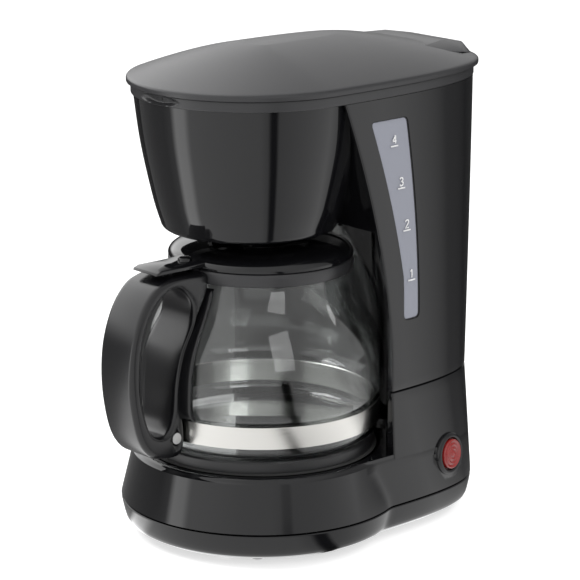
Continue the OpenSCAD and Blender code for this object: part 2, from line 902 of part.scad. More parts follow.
module head_mass(inset) {
    difference() {
        translate([0, -head_shift, 0])
            rotate_extrude()
                polygon(head_profile(inset));
        // Flats between the wings
        for (s = [-1, 1])
            intersection() {
                translate([s * (wing_x - play - inset + far / 2), 0, 0])
                    cube([far, 2 * far, 2 * far], center = true);
                difference() {
                    translate([0, 0, head_z - 1])
                        cylinder(r = far, h = head_h + 2);
                    side_plate(3 * far, wing_outline(-play - inset, head_z - 2, rim_z + 2));
                }
            }
    }
}

// Block that joins the cone to the tower, between the wings
module head_block(inset) {
    difference() {
        intersection() {
            translate([0, 0, head_z + inset])
                cylinder(r = bay_r - play - inset, h = rim_z - head_z - inset);
            translate([-wing_x + play + inset, 0, 0])
                cube([2 * (wing_x - play - inset), far, far]);
        }
        side_plate(far, wing_outline(4 + inset, head_z - 1, rim_z + 1));
    }
}

module brew_head() {
    color(BLACK)
        difference() {
            union() {
                head_mass(0);
                difference() {
                    head_block(0);
                    difference() {
                        translate([0, 0, eps])
                            head_block(wall);
                        for (p = head_screw_spots)
                            translate([p[0], p[1], 0])
                                cylinder(r = boss_r, h = far);
                    }
                }
                translate([0, 0, head_z - outlet_skirt_h])
                    cylinder(r = outlet_skirt_r, h = outlet_skirt_h + 1);
            }
            translate([0, 0, eps])
                head_mass(wall);
            translate([0, 0, head_z - outlet_skirt_h - 1])
                cylinder(r = outlet_skirt_r - wall, h = outlet_skirt_h + 1);
            translate([0, 0, head_z - 1])
                cylinder(r = outlet_hole_r, h = wall + 2);
            for (p = head_screw_spots)
                translate([p[0], p[1], rim_z - screw_l])
                    cylinder(r = screw_r + fit, h = far);
        }
}

module head_screws() {
    color(STEEL)
        for (p = head_screw_spots)
            translate([p[0], p[1], rim_z + wall + screw_head_t])
                rotate([180, 0, 0])
                    screw();
}

hinge_y = lid_back - 5.5;
hinge_z = lid_z + 4.9;
centre_knuckle_w = 20;
lid_knuckle_w = 9;

module top_rim() {
    notch_r = 80;
    notch_depth = 2.4;
    color(SATIN)
        difference() {
            union() {
                difference() {
                    translate([0, 0, rim_z])
                        linear_extrude(rim_h)
                            polygon(lid_plan(rim_in));
                    translate([0, 0, rim_z + wall])
                        linear_extrude(far)
                            polygon(lid_plan(rim_in + wall));
                    translate([0, -head_shift, 0])
                        cylinder(r = rim_hole_r, h = far);
                    // Filling mouth over the tank
                    difference() {
                        translate([0, 0, rim_z - 1])
                            linear_extrude(far)
                                polygon(lid_plan(rim_in + wall + 5.3));
                        translate([0, 0, rim_z - 2])
                            cylinder(r = bay_r + wall + 3, h = far);
                        translate([-far / 2, -far, rim_z - 2])
                            cube([far, far + tank_horn_y + 4, far]);
                        translate([-10, 0, rim_z - 2])
                            cube([20, riser_y + 10, far]);
                    }
                }
                translate([-centre_knuckle_w / 2, hinge_y, hinge_z])
                    rotate([0, 90, 0])
                        cylinder(r = knuckle_r, h = centre_knuckle_w);
                translate([-centre_knuckle_w / 2, hinge_y - knuckle_r, rim_z + 1])
                    cube([centre_knuckle_w, 2 * knuckle_r, hinge_z - rim_z - 1]);
            }
            translate([-far / 2, hinge_y, hinge_z])
                rotate([0, 90, 0])
                    cylinder(r = hinge_pin_r + fit, h = far);
            translate([0, riser_y, rim_z - 1])
                cylinder(r = spigot_r + 1.2 + 2 * fit, h = far);
            for (p = head_screw_spots)
                translate([p[0], p[1], rim_z - 1])
                    cylinder(r = screw_r + fit, h = far);
            // Finger notch in front
            translate([0, notch_depth + rim_in - lid_front - notch_r, rim_z + rim_h / 2])
                rotate_extrude()
                    polygon([[0, -rim_h / 2], [notch_r - notch_depth, -rim_h / 2],
                        [notch_r - notch_depth / 4, -rim_h / 4], [notch_r, 0],
                        [notch_r - notch_depth / 4, rim_h / 4], [notch_r - notch_depth, rim_h / 2],
                        [0, rim_h / 2]]);
        }
}

module hinge_pin() {
    half_l = centre_knuckle_w / 2 + play + lid_knuckle_w - 1;
    color(STEEL)
        translate([-half_l, hinge_y, hinge_z])
            rotate([0, 90, 0])
                cylinder(r = hinge_pin_r, h = 2 * half_l);
}

dome_steps = 8;
dome_flat = 0.85;        // share of the half width over which the crown rises
hump_front_y = 78.5;
hump_front_z = lid_edge_z + 7.2;
hump_top_z = lid_edge_z + 7.8;
hump_back_y = hinge_y - 15.8;
hump_back_w = 44;

function crown_drop(inset) = pow(1 - inset / lid_half_w, crown_round) * crown_h;

// Level line of the crown, where it is a distance in from the side
function crown_plan(inset, d) =
    plan(lid_half_w - inset - d, lid_front - inset - crown_front * d,
        lid_back - inset - crown_back * d, TOP_SECTION[2]);

// Solid under the lid's crown, drawn in by an inset and lowered by a drop
module dome_mass(inset, drop = 0) {
    loft(concat([[lid_z - drop, lid_plan(inset)]],
        [for (i = [0:dome_steps])
            let (d = dome_flat * lid_half_w * pow(i / dome_steps, 1.3))
            [crown_z - crown_drop(d) - inset, crown_plan(inset, d)]]));
}

module lid() {
    knuckle_x = centre_knuckle_w / 2 + play;
    color(SATIN)
        difference() {
            union() {
                dome_mass(0);
                hull() {
                    translate([-hump_w / 2, hump_front_y, hump_front_z - 0.1])
                        cube([hump_w, 0.1, 0.1]);
                    translate([-hump_back_w / 2, hump_back_y - 1, hump_top_z - 0.1])
                        cube([hump_back_w, 1, 0.1]);
                    translate([-hump_w / 2 - 5, hump_back_y, lid_edge_z + 2])
                        cube([hump_w + 10, 1, 1]);
                    translate([-hump_w / 2, hump_front_y, lid_edge_z])
                        cube([hump_w, hinge_y - hump_front_y - 4, 1]);
                    translate([-knuckle_x - lid_knuckle_w, hinge_y, hinge_z])
                        rotate([0, 90, 0])
                            cylinder(r = knuckle_r, h = 2 * (knuckle_x + lid_knuckle_w), $fn = 32);
                }
                for (s = [-1, 1])
                    translate([s * (knuckle_x + lid_knuckle_w / 2), hinge_y, hinge_z])
                        rotate([0, 90, 0])
                            cylinder(r = knuckle_r + 0.02, h = lid_knuckle_w, center = true);
            }
            dome_mass(lid_t, 1);
            // Room for the fixed knuckle and its post
            translate([-knuckle_x, hinge_y - knuckle_r - 1, 0])
                cube([2 * knuckle_x, far, far]);
            // The lid's rear edge stops above the rim, so that it can swing down
            translate([-far / 2, hinge_y - knuckle_r - 3, 0])
                cube([far, far, hinge_z - knuckle_r]);
            translate([-far / 2, hinge_y + knuckle_r + 0.5, 0])
                cube([far, far, far]);
            translate([-far / 2, hinge_y, hinge_z])
                rotate([0, 90, 0])
                    cylinder(r = hinge_pin_r + fit, h = far);
        }
}

// ---- Filter ----

filter_rim_z = rim_z + wall + 1.4;
mesh_t = 0.8;
seat_r = 5;              // radius of the drain hole that the valve shuts
outlet_bore = outlet_r - 1.6;

function basket_profile(inset) = [[0, basket_z + inset],
    [head_floor_r - wall - basket_gap - 3 - inset, basket_z + inset],
    [mix(head_floor_r, head_top_r, 0.28) - wall - basket_gap - inset, basket_z + 14],
    [rim_hole_r - basket_gap - inset, rim_z - 2], [rim_hole_r - basket_gap - inset, rim_z + wall + 9],
    [0, rim_z + wall + 9]];

module filter_basket() {
    color(BLACK)
        difference() {
            union() {
                intersection() {
                    translate([0, -head_shift, 0])
                        rotate_extrude()
                            polygon(basket_profile(0));
                    cylinder(r = far, h = rim_z + wall + 1.2);
                }
                translate([0, -head_shift, rim_z + wall])
                    cylinder(r = basket_rim_r, h = 1.2);
                translate([0, 0, basket_z - valve_low])
                    cylinder(r = outlet_r, h = valve_low + 1);
            }
            translate([0, -head_shift, 0])
                rotate_extrude()
                    polygon(basket_profile(basket_t));
            translate([0, 0, basket_z - valve_low - 1])
                cylinder(r = outlet_bore, h = valve_low + 1);
            cylinder(r = seat_r, h = far);
        }
}

module filter_frame() {
    rib_w = 2.4;
    rise = rim_z - basket_z - 8;
    color(BLACK)
        translate([0, -head_shift, 0]) {
            translate([0, 0, filter_rim_z - 0.1])
                tube(basket_rim_r - 1, rim_hole_r - basket_gap - basket_t - 4.4, 0.9);
            translate([0, 0, basket_z + 6.4])
                tube(24, 20, 2);
            difference() {
                intersection() {
                    for (a = [0:60:300])
                        rotate([0, 0, a + 30])
                            translate([-rib_w / 2, 0, basket_z + 6.4])
                                cube([rib_w, far, filter_rim_z - basket_z - 6.4]);
                    rotate_extrude()
                        polygon([[21, basket_z + 6.4], [24, basket_z + 6.4],
                            [rim_hole_r - 4, basket_z + 6.4 + rise], [rim_hole_r - 4, filter_rim_z],
                            [rim_hole_r - 7, filter_rim_z]]);
                }
                rotate_extrude()
                    polygon([[0, 0], [22.4, 0], [22.4, basket_z + 6.4],
                        [rim_hole_r - 5.9, filter_rim_z + 1], [0, filter_rim_z + 1]]);
            }
        }
}

module filter_mesh() {
    color(STEEL)
        translate([0, -head_shift, 0])
            rotate_extrude()
                polygon([[0, basket_z + 8.4 + fit], [19, basket_z + 8.4 + fit],
                    [22.2, basket_z + 8.4 + fit], [rim_hole_r - 7, filter_rim_z - 1],
                    [rim_hole_r - 7 - mesh_t, filter_rim_z - 1], [21.2, basket_z + 8.4 + mesh_t],
                    [0, basket_z + 8.4 + mesh_t]]);
}

valve_low = head_z + head_floor_t + 0.4 - (dome_z + 3.2);  // how far the outlet tube hangs below the basket
tip_z = dome_z + 2.6;
flange_z = tip_z + 1;
seal_z = basket_z + basket_t + valve_travel + fit;

module drip_valve() {
    color(MILKY) {
        translate([0, 0, tip_z])
            cylinder(r = stem_r, h = seal_z + 1.6 - tip_z);
        translate([0, 0, flange_z])
            cylinder(r = outlet_bore - 0.8, h = 1);
    }
}

module valve_seal() {
    color(SILICONE)
        translate([0, 0, seal_z])
            tube(seat_r + 1.2, stem_r + fit, 1.2);
}

module valve_spring() {
    turns = 6;
    wire_r = 0.35;
    low = flange_z + 1 + wire_r;
    high = basket_z - wire_r;
    color(STEEL)
        for (i = [0:turns])
            translate([0, 0, mix(low, high, i / turns)])
                rotate_extrude()
                    translate([outlet_bore - 1.8, 0])
                        circle(r = wire_r, $fn = 16);
}

// ---- Carafe ----

foot_round = 6.5;        // radius of the glass's lower edge
neck_z = glass_z + glass_h - 6.5;
belly_z = glass_z + belly_h;
band_z = glass_z + band_rise;
shoulder_power = 1.6;    // how late the shoulder turns in to the neck
shoulder_steps = 14;

// Side of the glass, drawn in by an inset, from its underside to its lip
function glass_side(inset) = concat(
    arc(band_r - foot_round, glass_z + foot_round, foot_round - inset, -90, 0, 6),
    [for (i = [0:5]) let (z = mix(band_z + band_h, belly_z, i / 5))
        [band_r + (carafe_r - band_r) * sin(18 * i) - inset, z]],
    [for (i = [1:shoulder_steps]) let (t = i / shoulder_steps)
        [neck_r + (carafe_r - neck_r) * (1 + cos(180 * pow(t, shoulder_power))) / 2 - inset,
            mix(belly_z, neck_z, t)]]);

module glass_mass(inset) {
    rotate_extrude()
        polygon(concat([[0, glass_z + max(0, inset)]], glass_side(inset),
            [[neck_r - inset, lip_z - min(0, inset)], [0, lip_z - min(0, inset)]]));
}

module carafe_glass() {
    color(GLASS)
        difference() {
            glass_mass(0);
            translate([0, 0, eps])
                glass_mass(glass_t);
        }
}

clamp_screw_y = -(band_r + 5.6);
clamp_screw_z = band_z + 3.2;
tab_gap = 0.8;

module carafe_band() {
    color(STEEL)
        difference() {
            union() {
                translate([0, 0, band_z])
                    tube(band_r + fit + band_t, band_r + fit, band_h);
                for (s = [-1, 1])
                    translate([s * (tab_gap + band_t) / 2 - band_t / 2, -band_r - 9.5, band_z])
                        cube([band_t, 9.4, 6.6]);
            }
            translate([-tab_gap / 2, -far, 0])
                cube([tab_gap, far, far]);
            translate([-far / 2, clamp_screw_y, clamp_screw_z])
                rotate([0, 90, 0])
                    cylinder(r = screw_r + fit, h = far);
        }
}

collar_r = neck_r + fit + collar_t;

module carafe_collar() {
    color(BLACK)
        difference() {
            union() {
                translate([0, 0, lip_z + 0.3 - collar_h])
                    cylinder(r = collar_r, h = collar_h);
                // Pouring lip, opposite the handle
                translate([0, collar_r - 8, lip_z + 0.3 - collar_h])
                    cylinder(r1 = 9, r2 = 12, h = collar_h);
            }
            translate([0, 0, lip_z + 0.3 - collar_h - 1])
                cylinder(r = neck_r + fit, h = collar_h + 1 - 0.3);
            cylinder(r = neck_r - glass_t - 0.2, h = far);
            translate([-handle_w / 2 - 0.2, -far, 0])
                cube([handle_w + 0.4, far, far]);
            translate([0, collar_r - 4, lip_z - 2])
                cylinder(r1 = 2, r2 = 5, h = 3);
        }
}

grip_y = -(carafe_r + handle_reach);
handle_low_z = plate_z + 1;
pin_y = -(neck_r + 4.4);
pin_z = collar_top_z - 4;
handle_top_z = collar_top_z - 0.6;
// Outer outline of the handle, from the neck over the grip to the foot
handle_outline = smooth_ring([[-28, handle_top_z - 9], [-34, handle_top_z - 2],
    [-48, handle_top_z], [-66, handle_top_z + 0.6],
    [grip_y + 20, handle_top_z - 2.5], [grip_y + 8, handle_top_z - 15], [grip_y + 1.6, handle_top_z - 31],
    [grip_y, handle_top_z - 48], [grip_y + 1.5, plate_z + 31], [grip_y + 6, plate_z + 13],
    [grip_y + 14, plate_z + 3.4], [grip_y + 24, handle_low_z], [-60, handle_low_z],
    [-40, handle_low_z + 4], [-26, plate_z + 40]]);
// Finger hole, kept clear of the saddle round the glass
handle_hole = smooth_ring([[grip_y + 25, handle_top_z - 6], [grip_y + 14.5, handle_top_z - 15.5],
    [grip_y + grip_t + 1.5, handle_top_z - 31], [grip_y + grip_t, handle_top_z - 48],
    [grip_y + grip_t + 1, plate_z + 32], [grip_y + grip_t + 5.5, plate_z + 18],
    [grip_y + 20, plate_z + 13.6], [-carafe_r - 7.5, plate_z + 15.5], [-carafe_r - 4.6, plate_z + 24],
    [-carafe_r - 3.4, plate_z + 40], [-carafe_r + 0.5, plate_z + 56], [-neck_r - 13.6, plate_z + 70],
    [-neck_r - 12.4, plate_z + 80], [-neck_r - 20, handle_top_z - 6.5]]);

module carafe_handle() {
    color(BLACK)
        difference() {
            union() {
                side_plate(handle_w, handle_outline);
                rotate([0, 0, -90 - saddle_angle])
                    rotate_extrude(angle = 2 * saddle_angle)
                        polygon(concat(
                            [for (p = glass_side(-saddle_t)) if (p[1] > band_z + 3 && p[1] < neck_z) p],
                            [[neck_r, neck_z], [neck_r, band_z + 3]]));
            }
            side_plate(far, handle_hole);
            glass_mass(-play);
            translate([0, 0, band_z - play])
                cylinder(r = band_r + fit + band_t + play, h = band_h + 2 * play);
            // Slots for the lid's lug and for the band's two ends
            translate([-lug_w / 2 - play, pin_y - 5.5, pin_z - 5])
                cube([lug_w + 2 * play, far, far]);
            translate([-tab_gap - band_t - play, -band_r - 10, band_z - play])
                cube([2 * (tab_gap + band_t + play), 20, 7.2]);
            translate([-far / 2, pin_y, pin_z])
                rotate([0, 90, 0])
                    cylinder(r = lid_pin_r + fit, h = far);
            translate([-handle_w, clamp_screw_y, clamp_screw_z])
                rotate([0, 90, 0])
                    cylinder(r = screw_r + fit, h = 2 * handle_w);
            translate([handle_w / 2 - screw_head_t - 0.4, clamp_screw_y, clamp_screw_z])
                rotate([0, 90, 0])
                    cylinder(r = screw_head_r + 0.4, h = handle_w);
        }
}

module handle_screw() {
    color(STEEL)
        translate([handle_w / 2 - 0.4, clamp_screw_y, clamp_screw_z])
            rotate([0, -90, 0]) {
                cylinder(r = screw_head_r, h = screw_head_t);
                cylinder(r = screw_r, h = handle_w - 3);
            }
}

module carafe_lid_pin() {
    color(STEEL)
        translate([-handle_w / 2 + 0.6, pin_y, pin_z])
            rotate([0, 90, 0])
                cylinder(r = lid_pin_r, h = handle_w - 1.2);
}

lid_flange_z = collar_top_z + play;
thumb_z = lid_flange_z + 1.2;
thumb_t = 2.6;

module carafe_lid() {
    r = collar_r;
    skirt_r = neck_r - glass_t - 0.9;
    color(BLACK)
        difference() {
            union() {
                rotate_extrude()
                    polygon([[skirt_r - 1.8, lid_flange_z - 6], [skirt_r, lid_flange_z - 6],
                        [skirt_r, lid_flange_z], [r, lid_flange_z], [r, lid_flange_z + 1.8],
                        [r - 1.2, lid_flange_z + 3.6], [r - 5, lid_flange_z + 5.8],
                        [r - 12, dome_z - 0.8], [r - 20, dome_z], [20, dome_z], [17, dome_z - 2],
                        [6, dome_z - 3], [6, dome_z - 4.8], [18, dome_z - 4],
                        [r - 13, dome_z - 2.8], [skirt_r - 1.8, lid_flange_z + 3]]);
                // Cross that lifts the drip valve
                for (a = [0, 90])
                    rotate([0, 0, a])
                        translate([-7, -0.8, dome_z - 4.4])
                            cube([14, 1.6, 4.4]);
                // Thumb plate and hinge lug
                translate([-thumb_w / 2, -thumb_reach, thumb_z])
                    cube([thumb_w, thumb_reach - r + 6, thumb_t]);
                translate([-lug_w / 2, pin_y - 3.2, pin_z])
                    cube([lug_w, 6.4, thumb_z - pin_z + 1]);
                translate([-lug_w / 2, pin_y, pin_z])
                    rotate([0, 90, 0])
                        cylinder(r = 3.2, h = lug_w);
                translate([0, pin_y - 2.6, thumb_z + thumb_t - 1])
                    cylinder(r = 3.6, h = 3.4);
            }
            translate([-far / 2, pin_y, pin_z])
                rotate([0, 90, 0])
                    cylinder(r = lid_pin_r + fit, h = far);
        }
}

// ---- Switch and wiring ----

bezel_barrel_r = button_r + 1.6;
bezel_h = 2.2;
bezel_sink = 1.4;        // how deep the bezel's flange sits in the shell
switch_depth = 20;

module switch_bezel() {
    color(SATIN)
        at_switch()
            difference() {
                union() {
                    translate([0, 0, -bezel_sink])
                        cylinder(r1 = bezel_r, r2 = bezel_r - 0.8, h = bezel_h + bezel_sink);
                    translate([0, 0, -6])
                        cylinder(r = bezel_barrel_r, h = 6);
                }
                translate([0, 0, -7])
                    cylinder(r = button_r + play, h = far);
            }
}

module switch_body() {
    color(BLACK)
        at_switch()
            translate([0, 0, -6 - switch_depth]) {
                difference() {
                    cylinder(r = bezel_barrel_r, h = switch_depth - fit);
                    translate([0, 0, 4])
                        cylinder(r = button_r + play, h = far);
                }
                for (s = [-1, 1])
                    translate([-0.4, s * 4 - 2, -6])
                        cube([0.8, 4, 6.5]);
            }
}

module switch_button() {
    color(RED)
        at_switch()
            difference() {
                translate([0, 0, -11])
                    cylinder(r = button_r, h = 11 + bezel_h + button_travel - 1);
                translate([0, 0, -12])
                    cylinder(r = button_r - 1.6, h = 11);
            }
}

module switch_spring() {
    turns = 16;
    wire_r = 0.5;
    low = -switch_depth - 2 + wire_r;
    high = -1 - button_travel - wire_r - fit;
    color(STEEL)
        at_switch()
            for (i = [0:turns])
                translate([0, 0, mix(low, high, i / turns)])
                    rotate_extrude()
                        translate([button_r - 2.6, 0])
                            circle(r = wire_r, $fn = 16);
}

module switch_lamp() {
    color(RED)
        at_switch()
            translate([0, 0, -switch_depth - 2]) {
                cylinder(r = 2, h = 10);
                translate([0, 0, 10])
                    sphere(r = 2);
            }
}

block_spot = [34, 52];

module terminal_block() {
    color(WHITE)
        translate([block_spot[0], block_spot[1], foot_h + wall + fit])
            difference() {
                translate([-9, -7, 0])
                    cube([18, 14, 9]);
                for (x = [-6, 0, 6])
                    translate([x, 0, 4])
                        cylinder(r = 1.6, h = 6);
            }
}

tab_reach = 30;          // how far inside the skin the leads meet the switch's tabs

// Underside of one of the switch's two tabs
function tab_spot(s) = [
    switch_x - tab_reach * cos(switch_lift) * cos(switch_turn) - s * 4 * sin(switch_turn),
    switch_y - tab_reach * cos(switch_lift) * sin(switch_turn) + s * 4 * cos(switch_turn),
    switch_z - tab_reach * sin(switch_lift) - 0.6];

module internal_leads() {
    lead_r = 0.9;
    top = foot_h + wall + 9.1;
    x = block_spot[0];
    y = block_spot[1];
    a = tab_spot(-1);
    b = tab_spot(1);
    probe_z = clamp_z + clamp_t + 2.4;
    color(RED) {
        pipe_run([[x - 6, y, top], [x - 6, y, top + 11], [x - 6, a[1], top + 11],
            [a[0], a[1], top + 11], a], lead_r);
        pipe_run([[x, y, top], [x, y, top + 6], [x, b[1], top + 6], [b[0], b[1], top + 6], b], lead_r);
    }
    color(BLACK)
        pipe_run([[x + 6, y, top], [x + 6, y, top + 4], [x + 6, clamp_y + 12, top + 4],
            [11, clamp_y + 12, top + 4], [11, clamp_y + 12, probe_z], [11, clamp_y + 2, probe_z]], lead_r);
}

// ---- Cord inlet ----

bush_body_r = cord_r + 2.2;
bush_l = 12;

module cord_bush() {
    color(RUBBER)
        translate([0, inlet_y, inlet_z])
            rotate([-90, 0, 0])
                difference() {
                    union() {
                        translate([0, 0, fit])
                            cylinder(r = bush_r, h = 2.4);
                        translate([0, 0, 2.4 - bush_l])
                            cylinder(r = bush_body_r, h = bush_l);
                    }
                    translate([0, 0, -bush_l])
                        cylinder(r = cord_r, h = far);
                }
}

place() bottom_cover();
place() rubber_feet();
place() cover_screws();
place() base_shell();
place() warming_plate();
place() plate_seal();
place() water_tube();
place() heating_rod();
place() heater_clamp();
place() clamp_nuts();
place() thermostat();
place() thermal_fuses();
place() tank_hose();
place() check_valve_body();
place() check_ball();
place() inlet_hose();
place() riser_hose();
place() riser_pipe();
place() tower_shell();
place() tower_screws();
place() water_tank();
place() level_window();
place() window_seal();
place() level_marks();
place() brew_head();
place() head_screws();
place() top_rim();
place() water_spout();
place() hinge_pin();
place() lid();
place() filter_basket();
place() filter_frame();
place() filter_mesh();
place() drip_valve();
place() valve_seal();
place() valve_spring();
place() carafe_glass();
place() carafe_band();
place() carafe_collar();
place() carafe_handle();
place() handle_screw();
place() carafe_lid();
place() carafe_lid_pin();
place() switch_bezel();
place() switch_body();
place() switch_button();
place() switch_spring();
place() switch_lamp();
place() terminal_block();
place() internal_leads();
place() cord_bush();
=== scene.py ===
"""Drip coffee maker: the visible pieces, their finishes and a plain studio."""

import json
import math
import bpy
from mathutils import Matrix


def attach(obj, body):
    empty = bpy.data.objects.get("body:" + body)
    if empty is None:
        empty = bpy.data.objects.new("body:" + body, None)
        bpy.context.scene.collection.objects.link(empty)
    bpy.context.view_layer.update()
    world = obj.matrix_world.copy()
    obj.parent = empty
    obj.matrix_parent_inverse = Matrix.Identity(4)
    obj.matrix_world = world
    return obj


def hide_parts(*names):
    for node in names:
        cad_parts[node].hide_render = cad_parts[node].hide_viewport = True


bl_info = {
    "name": "Drip coffee maker",
    "version": (1, 0, 0),
    "blender": (4, 5, 0),
    "location": "View3D > Sidebar > Coffee maker",
    "description": "Builds the housing, carafe, lid, filter and switch of a drip coffee maker",
    "category": "Add Mesh",
}

import bmesh
import bpy
from bpy.props import FloatProperty, FloatVectorProperty, PointerProperty
from bpy.types import Operator, Panel, PropertyGroup
from mathutils import Matrix, Vector

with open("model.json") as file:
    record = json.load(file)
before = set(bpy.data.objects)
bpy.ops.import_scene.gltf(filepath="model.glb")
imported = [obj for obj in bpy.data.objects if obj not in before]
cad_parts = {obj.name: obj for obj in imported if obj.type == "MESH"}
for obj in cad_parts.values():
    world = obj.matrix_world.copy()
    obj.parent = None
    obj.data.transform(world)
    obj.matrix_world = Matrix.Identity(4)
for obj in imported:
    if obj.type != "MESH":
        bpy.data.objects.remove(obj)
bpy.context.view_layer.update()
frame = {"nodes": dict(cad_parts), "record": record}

MM = 0.001
MIDDLE_Y = 16.4          # the carafe's axis stands this far in front of the outline's middle
PLAN_Y = -5.3            # where the tower and the lid are widest
SMOOTH_ANGLE = math.radians(32)

# Heights above the table, in millimetres
FOOT_Z = 2.5
SEAM_Z = 18.5
DECK_Z = 46.5
GLASS_Z = 53.8
BELLY_Z = 79.8
MID_Z = 80.0
NECK_Z = 142.3
LIP_Z = 148.8
HEAD_Z = 165.0
RIM_Z = 236.0
RIM_TOP_Z = 241.5
LID_Z = 241.8
LID_EDGE_Z = 244.8
CROWN_POINTS = 192
CROWN_H = 17.0           # how far the lid's crown rises over its edge
WALL = 2.4

# Tower sections: half width, reach back, squareness of the rear corners
TOP_SECTION = (62.0, 127.7, 3.0)
MID_SECTION = (64.0, 116.5, 3.8)
BASE_SECTION = (67.25, 118.0, 4.2)
TOWER_FRONT = 50.0
WING_LOW_Y = 35.5
WING_SWEEP = 33.0
WING_START_Z = 95.0
WINDOW_LOW_Z = 117.0
WINDOW_HIGH_Z = 225.0
MARK_HEIGHTS = (138.0, 165.0, 187.8, 210.5)
BAY_R = 71.5
LID_HALF_W = 64.6
LID_FRONT = 71.0
LID_BACK = 130.3
RIM_IN = 2.3             # the rim's band stands in from the lid's edge
HEAD_SHIFT = 7.5
HINGE = (124.8, 246.7)
KNUCKLE_R = 3.2
HUMP_HALF_W = 19.3       # half the width of the raised flat at the hinge
TURN_STEPS = 160
KNUCKLE_W = 10.0         # half the width of the fixed knuckle
WING_X = 59.7


# ---- Sizes and colours that a user may change ----


def length(name, default, description):
    return FloatProperty(name=name, default=default, description=description,
                         subtype="DISTANCE", unit="LENGTH", precision=4)


def colour(name, default, description):
    return FloatVectorProperty(name=name, default=default, description=description,
                               subtype="COLOR", size=3, min=0.0, max=1.0)


class HousingSizes(PropertyGroup):
    """Sizes of the housing's edges and gaps."""

    edge_round: length("Edge rounding", 0.0008, "Rounding of the tower's and the wings' edges")
    seam_gap: length("Seam gap", 0.0003, "Half the gap at the seams between the shells")
    notch_depth: length("Finger notch", 0.0024, "Depth of the notch in the front of the rim")
    lid_edge_round: length("Lid edge", 0.0010, "Rounding of the lid's upper edge")


class CarafeSizes(PropertyGroup):
    """Sizes of the carafe's pieces."""

    glass_wall: length("Glass wall", 0.0018, "Thickness of the glass")
    grip_round: length("Grip rounding", 0.0035, "Rounding of the handle's edges")
    tongue_width: length("Thumb plate", 0.020, "Width of the thumb plate on the carafe's lid")


class FinishColours(PropertyGroup):
    """Colours of the finishes."""

    gloss_black: colour("Gloss black", (0.006, 0.006, 0.007), "High gloss plastic of the housing")
    satin_black: colour("Satin black", (0.030, 0.030, 0.032), "Satin plastic of lid and rim")
    matt_black: colour("Matt black", (0.020, 0.020, 0.020), "Plastic of the filter parts")
    band_steel: colour("Band steel", (0.72, 0.71, 0.68), "Steel band of the carafe")
    lens_red: colour("Lens red", (0.30, 0.012, 0.010), "Translucent red of the button")
    window_grey: colour("Window grey", (0.30, 0.31, 0.36), "Translucent grey of the water gauge")


class StudioSettings(PropertyGroup):
    """Light and camera."""

    azimuth: FloatProperty(name="Azimuth", default=math.radians(49.0), subtype="ANGLE",
                           description="Side from which the camera looks")
    elevation: FloatProperty(name="Elevation", default=math.radians(14.5), subtype="ANGLE",
                             description="Height of the camera above the horizon")
    distance: length("Distance", 1.4698, "Distance of the camera from the carafe's axis")
    fill: FloatProperty(name="Fill light", default=0.55, min=0.0, max=2.0,
                        description="Strength of the world's plain light")


def settings():
    scene = bpy.context.scene
    return scene.maker_housing, scene.maker_carafe, scene.maker_colours, scene.maker_studio


# ---- Outlines, in millimetres, round the carafe's axis ----


def signed_power(value, power):
    return math.copysign(abs(value) ** power, value)


def plan_outline(half_w, front, back, square, count=144):
    """Closed outline: an ellipse in front of PLAN_Y and a squarer curve behind it."""
    points = []
    for step in range(720):
        a = math.radians(step / 2)
        power = square if step < 360 else 2
        reach = back - PLAN_Y if step < 360 else front + PLAN_Y
        points.append((half_w * signed_power(math.cos(a), 2 / power),
                       PLAN_Y + reach * signed_power(math.sin(a), 2 / power)))
    return even_points(points + points[:1], count + 1)[:-1]


def even_points(points, count):
    """The same line with its points evenly spread."""
    at = [0.0]
    for a, b in zip(points, points[1:]):
        at.append(at[-1] + math.dist(a, b))
    result = []
    k = 0
    for i in range(count):
        want = at[-1] * i / (count - 1)
        while k < len(at) - 2 and at[k + 1] < want:
            k += 1
        t = (want - at[k]) / max(at[k + 1] - at[k], 1e-9)
        result.append(tuple(p + (q - p) * t for p, q in zip(points[k], points[k + 1])))
    return result


def mix(a, b, t):
    return a + (b - a) * t


def section_at(z, inset=0.0):
    low, high, t = ((BASE_SECTION, MID_SECTION, (z - SEAM_Z) / (MID_Z - SEAM_Z)) if z < MID_Z
                    else (MID_SECTION, TOP_SECTION, (z - MID_Z) / (RIM_Z - MID_Z)))
    half_w, back, square = (mix(a, b, t) for a, b in zip(low, high))
    return half_w - inset, back - inset, square


def skin_x(y, z, inset=0.0):
    half_w, back, square = section_at(z, inset)
    share = min(1.0, abs((y - PLAN_Y) / (back - PLAN_Y)))
    return half_w * (1 - share ** square) ** (1 / square)


def wing_y(z):
    if z < WING_START_Z:
        return WING_LOW_Y
    return WING_LOW_Y - WING_SWEEP * ((z - WING_START_Z) / (RIM_Z - WING_START_Z)) ** 1.7


def lid_outline(inset=0.0, count=144):
    return plan_outline(LID_HALF_W - inset, LID_FRONT - inset, LID_BACK - inset,
                        TOP_SECTION[2], count)


def at_height(points, z):
    return [(x, y, z) for x, y in points]


def arc_points(x, y, r, start, end, steps):
    return [(x + r * math.cos(math.radians(mix(start, end, i / steps))),
             y + r * math.sin(math.radians(mix(start, end, i / steps)))) for i in range(steps + 1)]


def smooth_line(points, steps=6, closed=False):
    """A smooth curve through the points."""
    n = len(points)
    result = []
    for i in range(n if closed else n - 1):
        if closed:
            a, b, c, d = (points[(i + k) % n] for k in (-1, 0, 1, 2))
        else:
            a, b, c, d = (points[min(max(i + k, 0), n - 1)] for k in (-1, 0, 1, 2))
        for s in range(steps):
            t = s / steps
            result.append(tuple(0.5 * (2 * q + (r - p) * t + (2 * p - 5 * q + 4 * r - w) * t * t
                                       + (3 * q - p - 3 * r + w) * t ** 3)
                                for p, q, r, w in zip(a, b, c, d)))
    if not closed:
        result.append(tuple(points[-1]))
    return result


# ---- Mesh tools ----


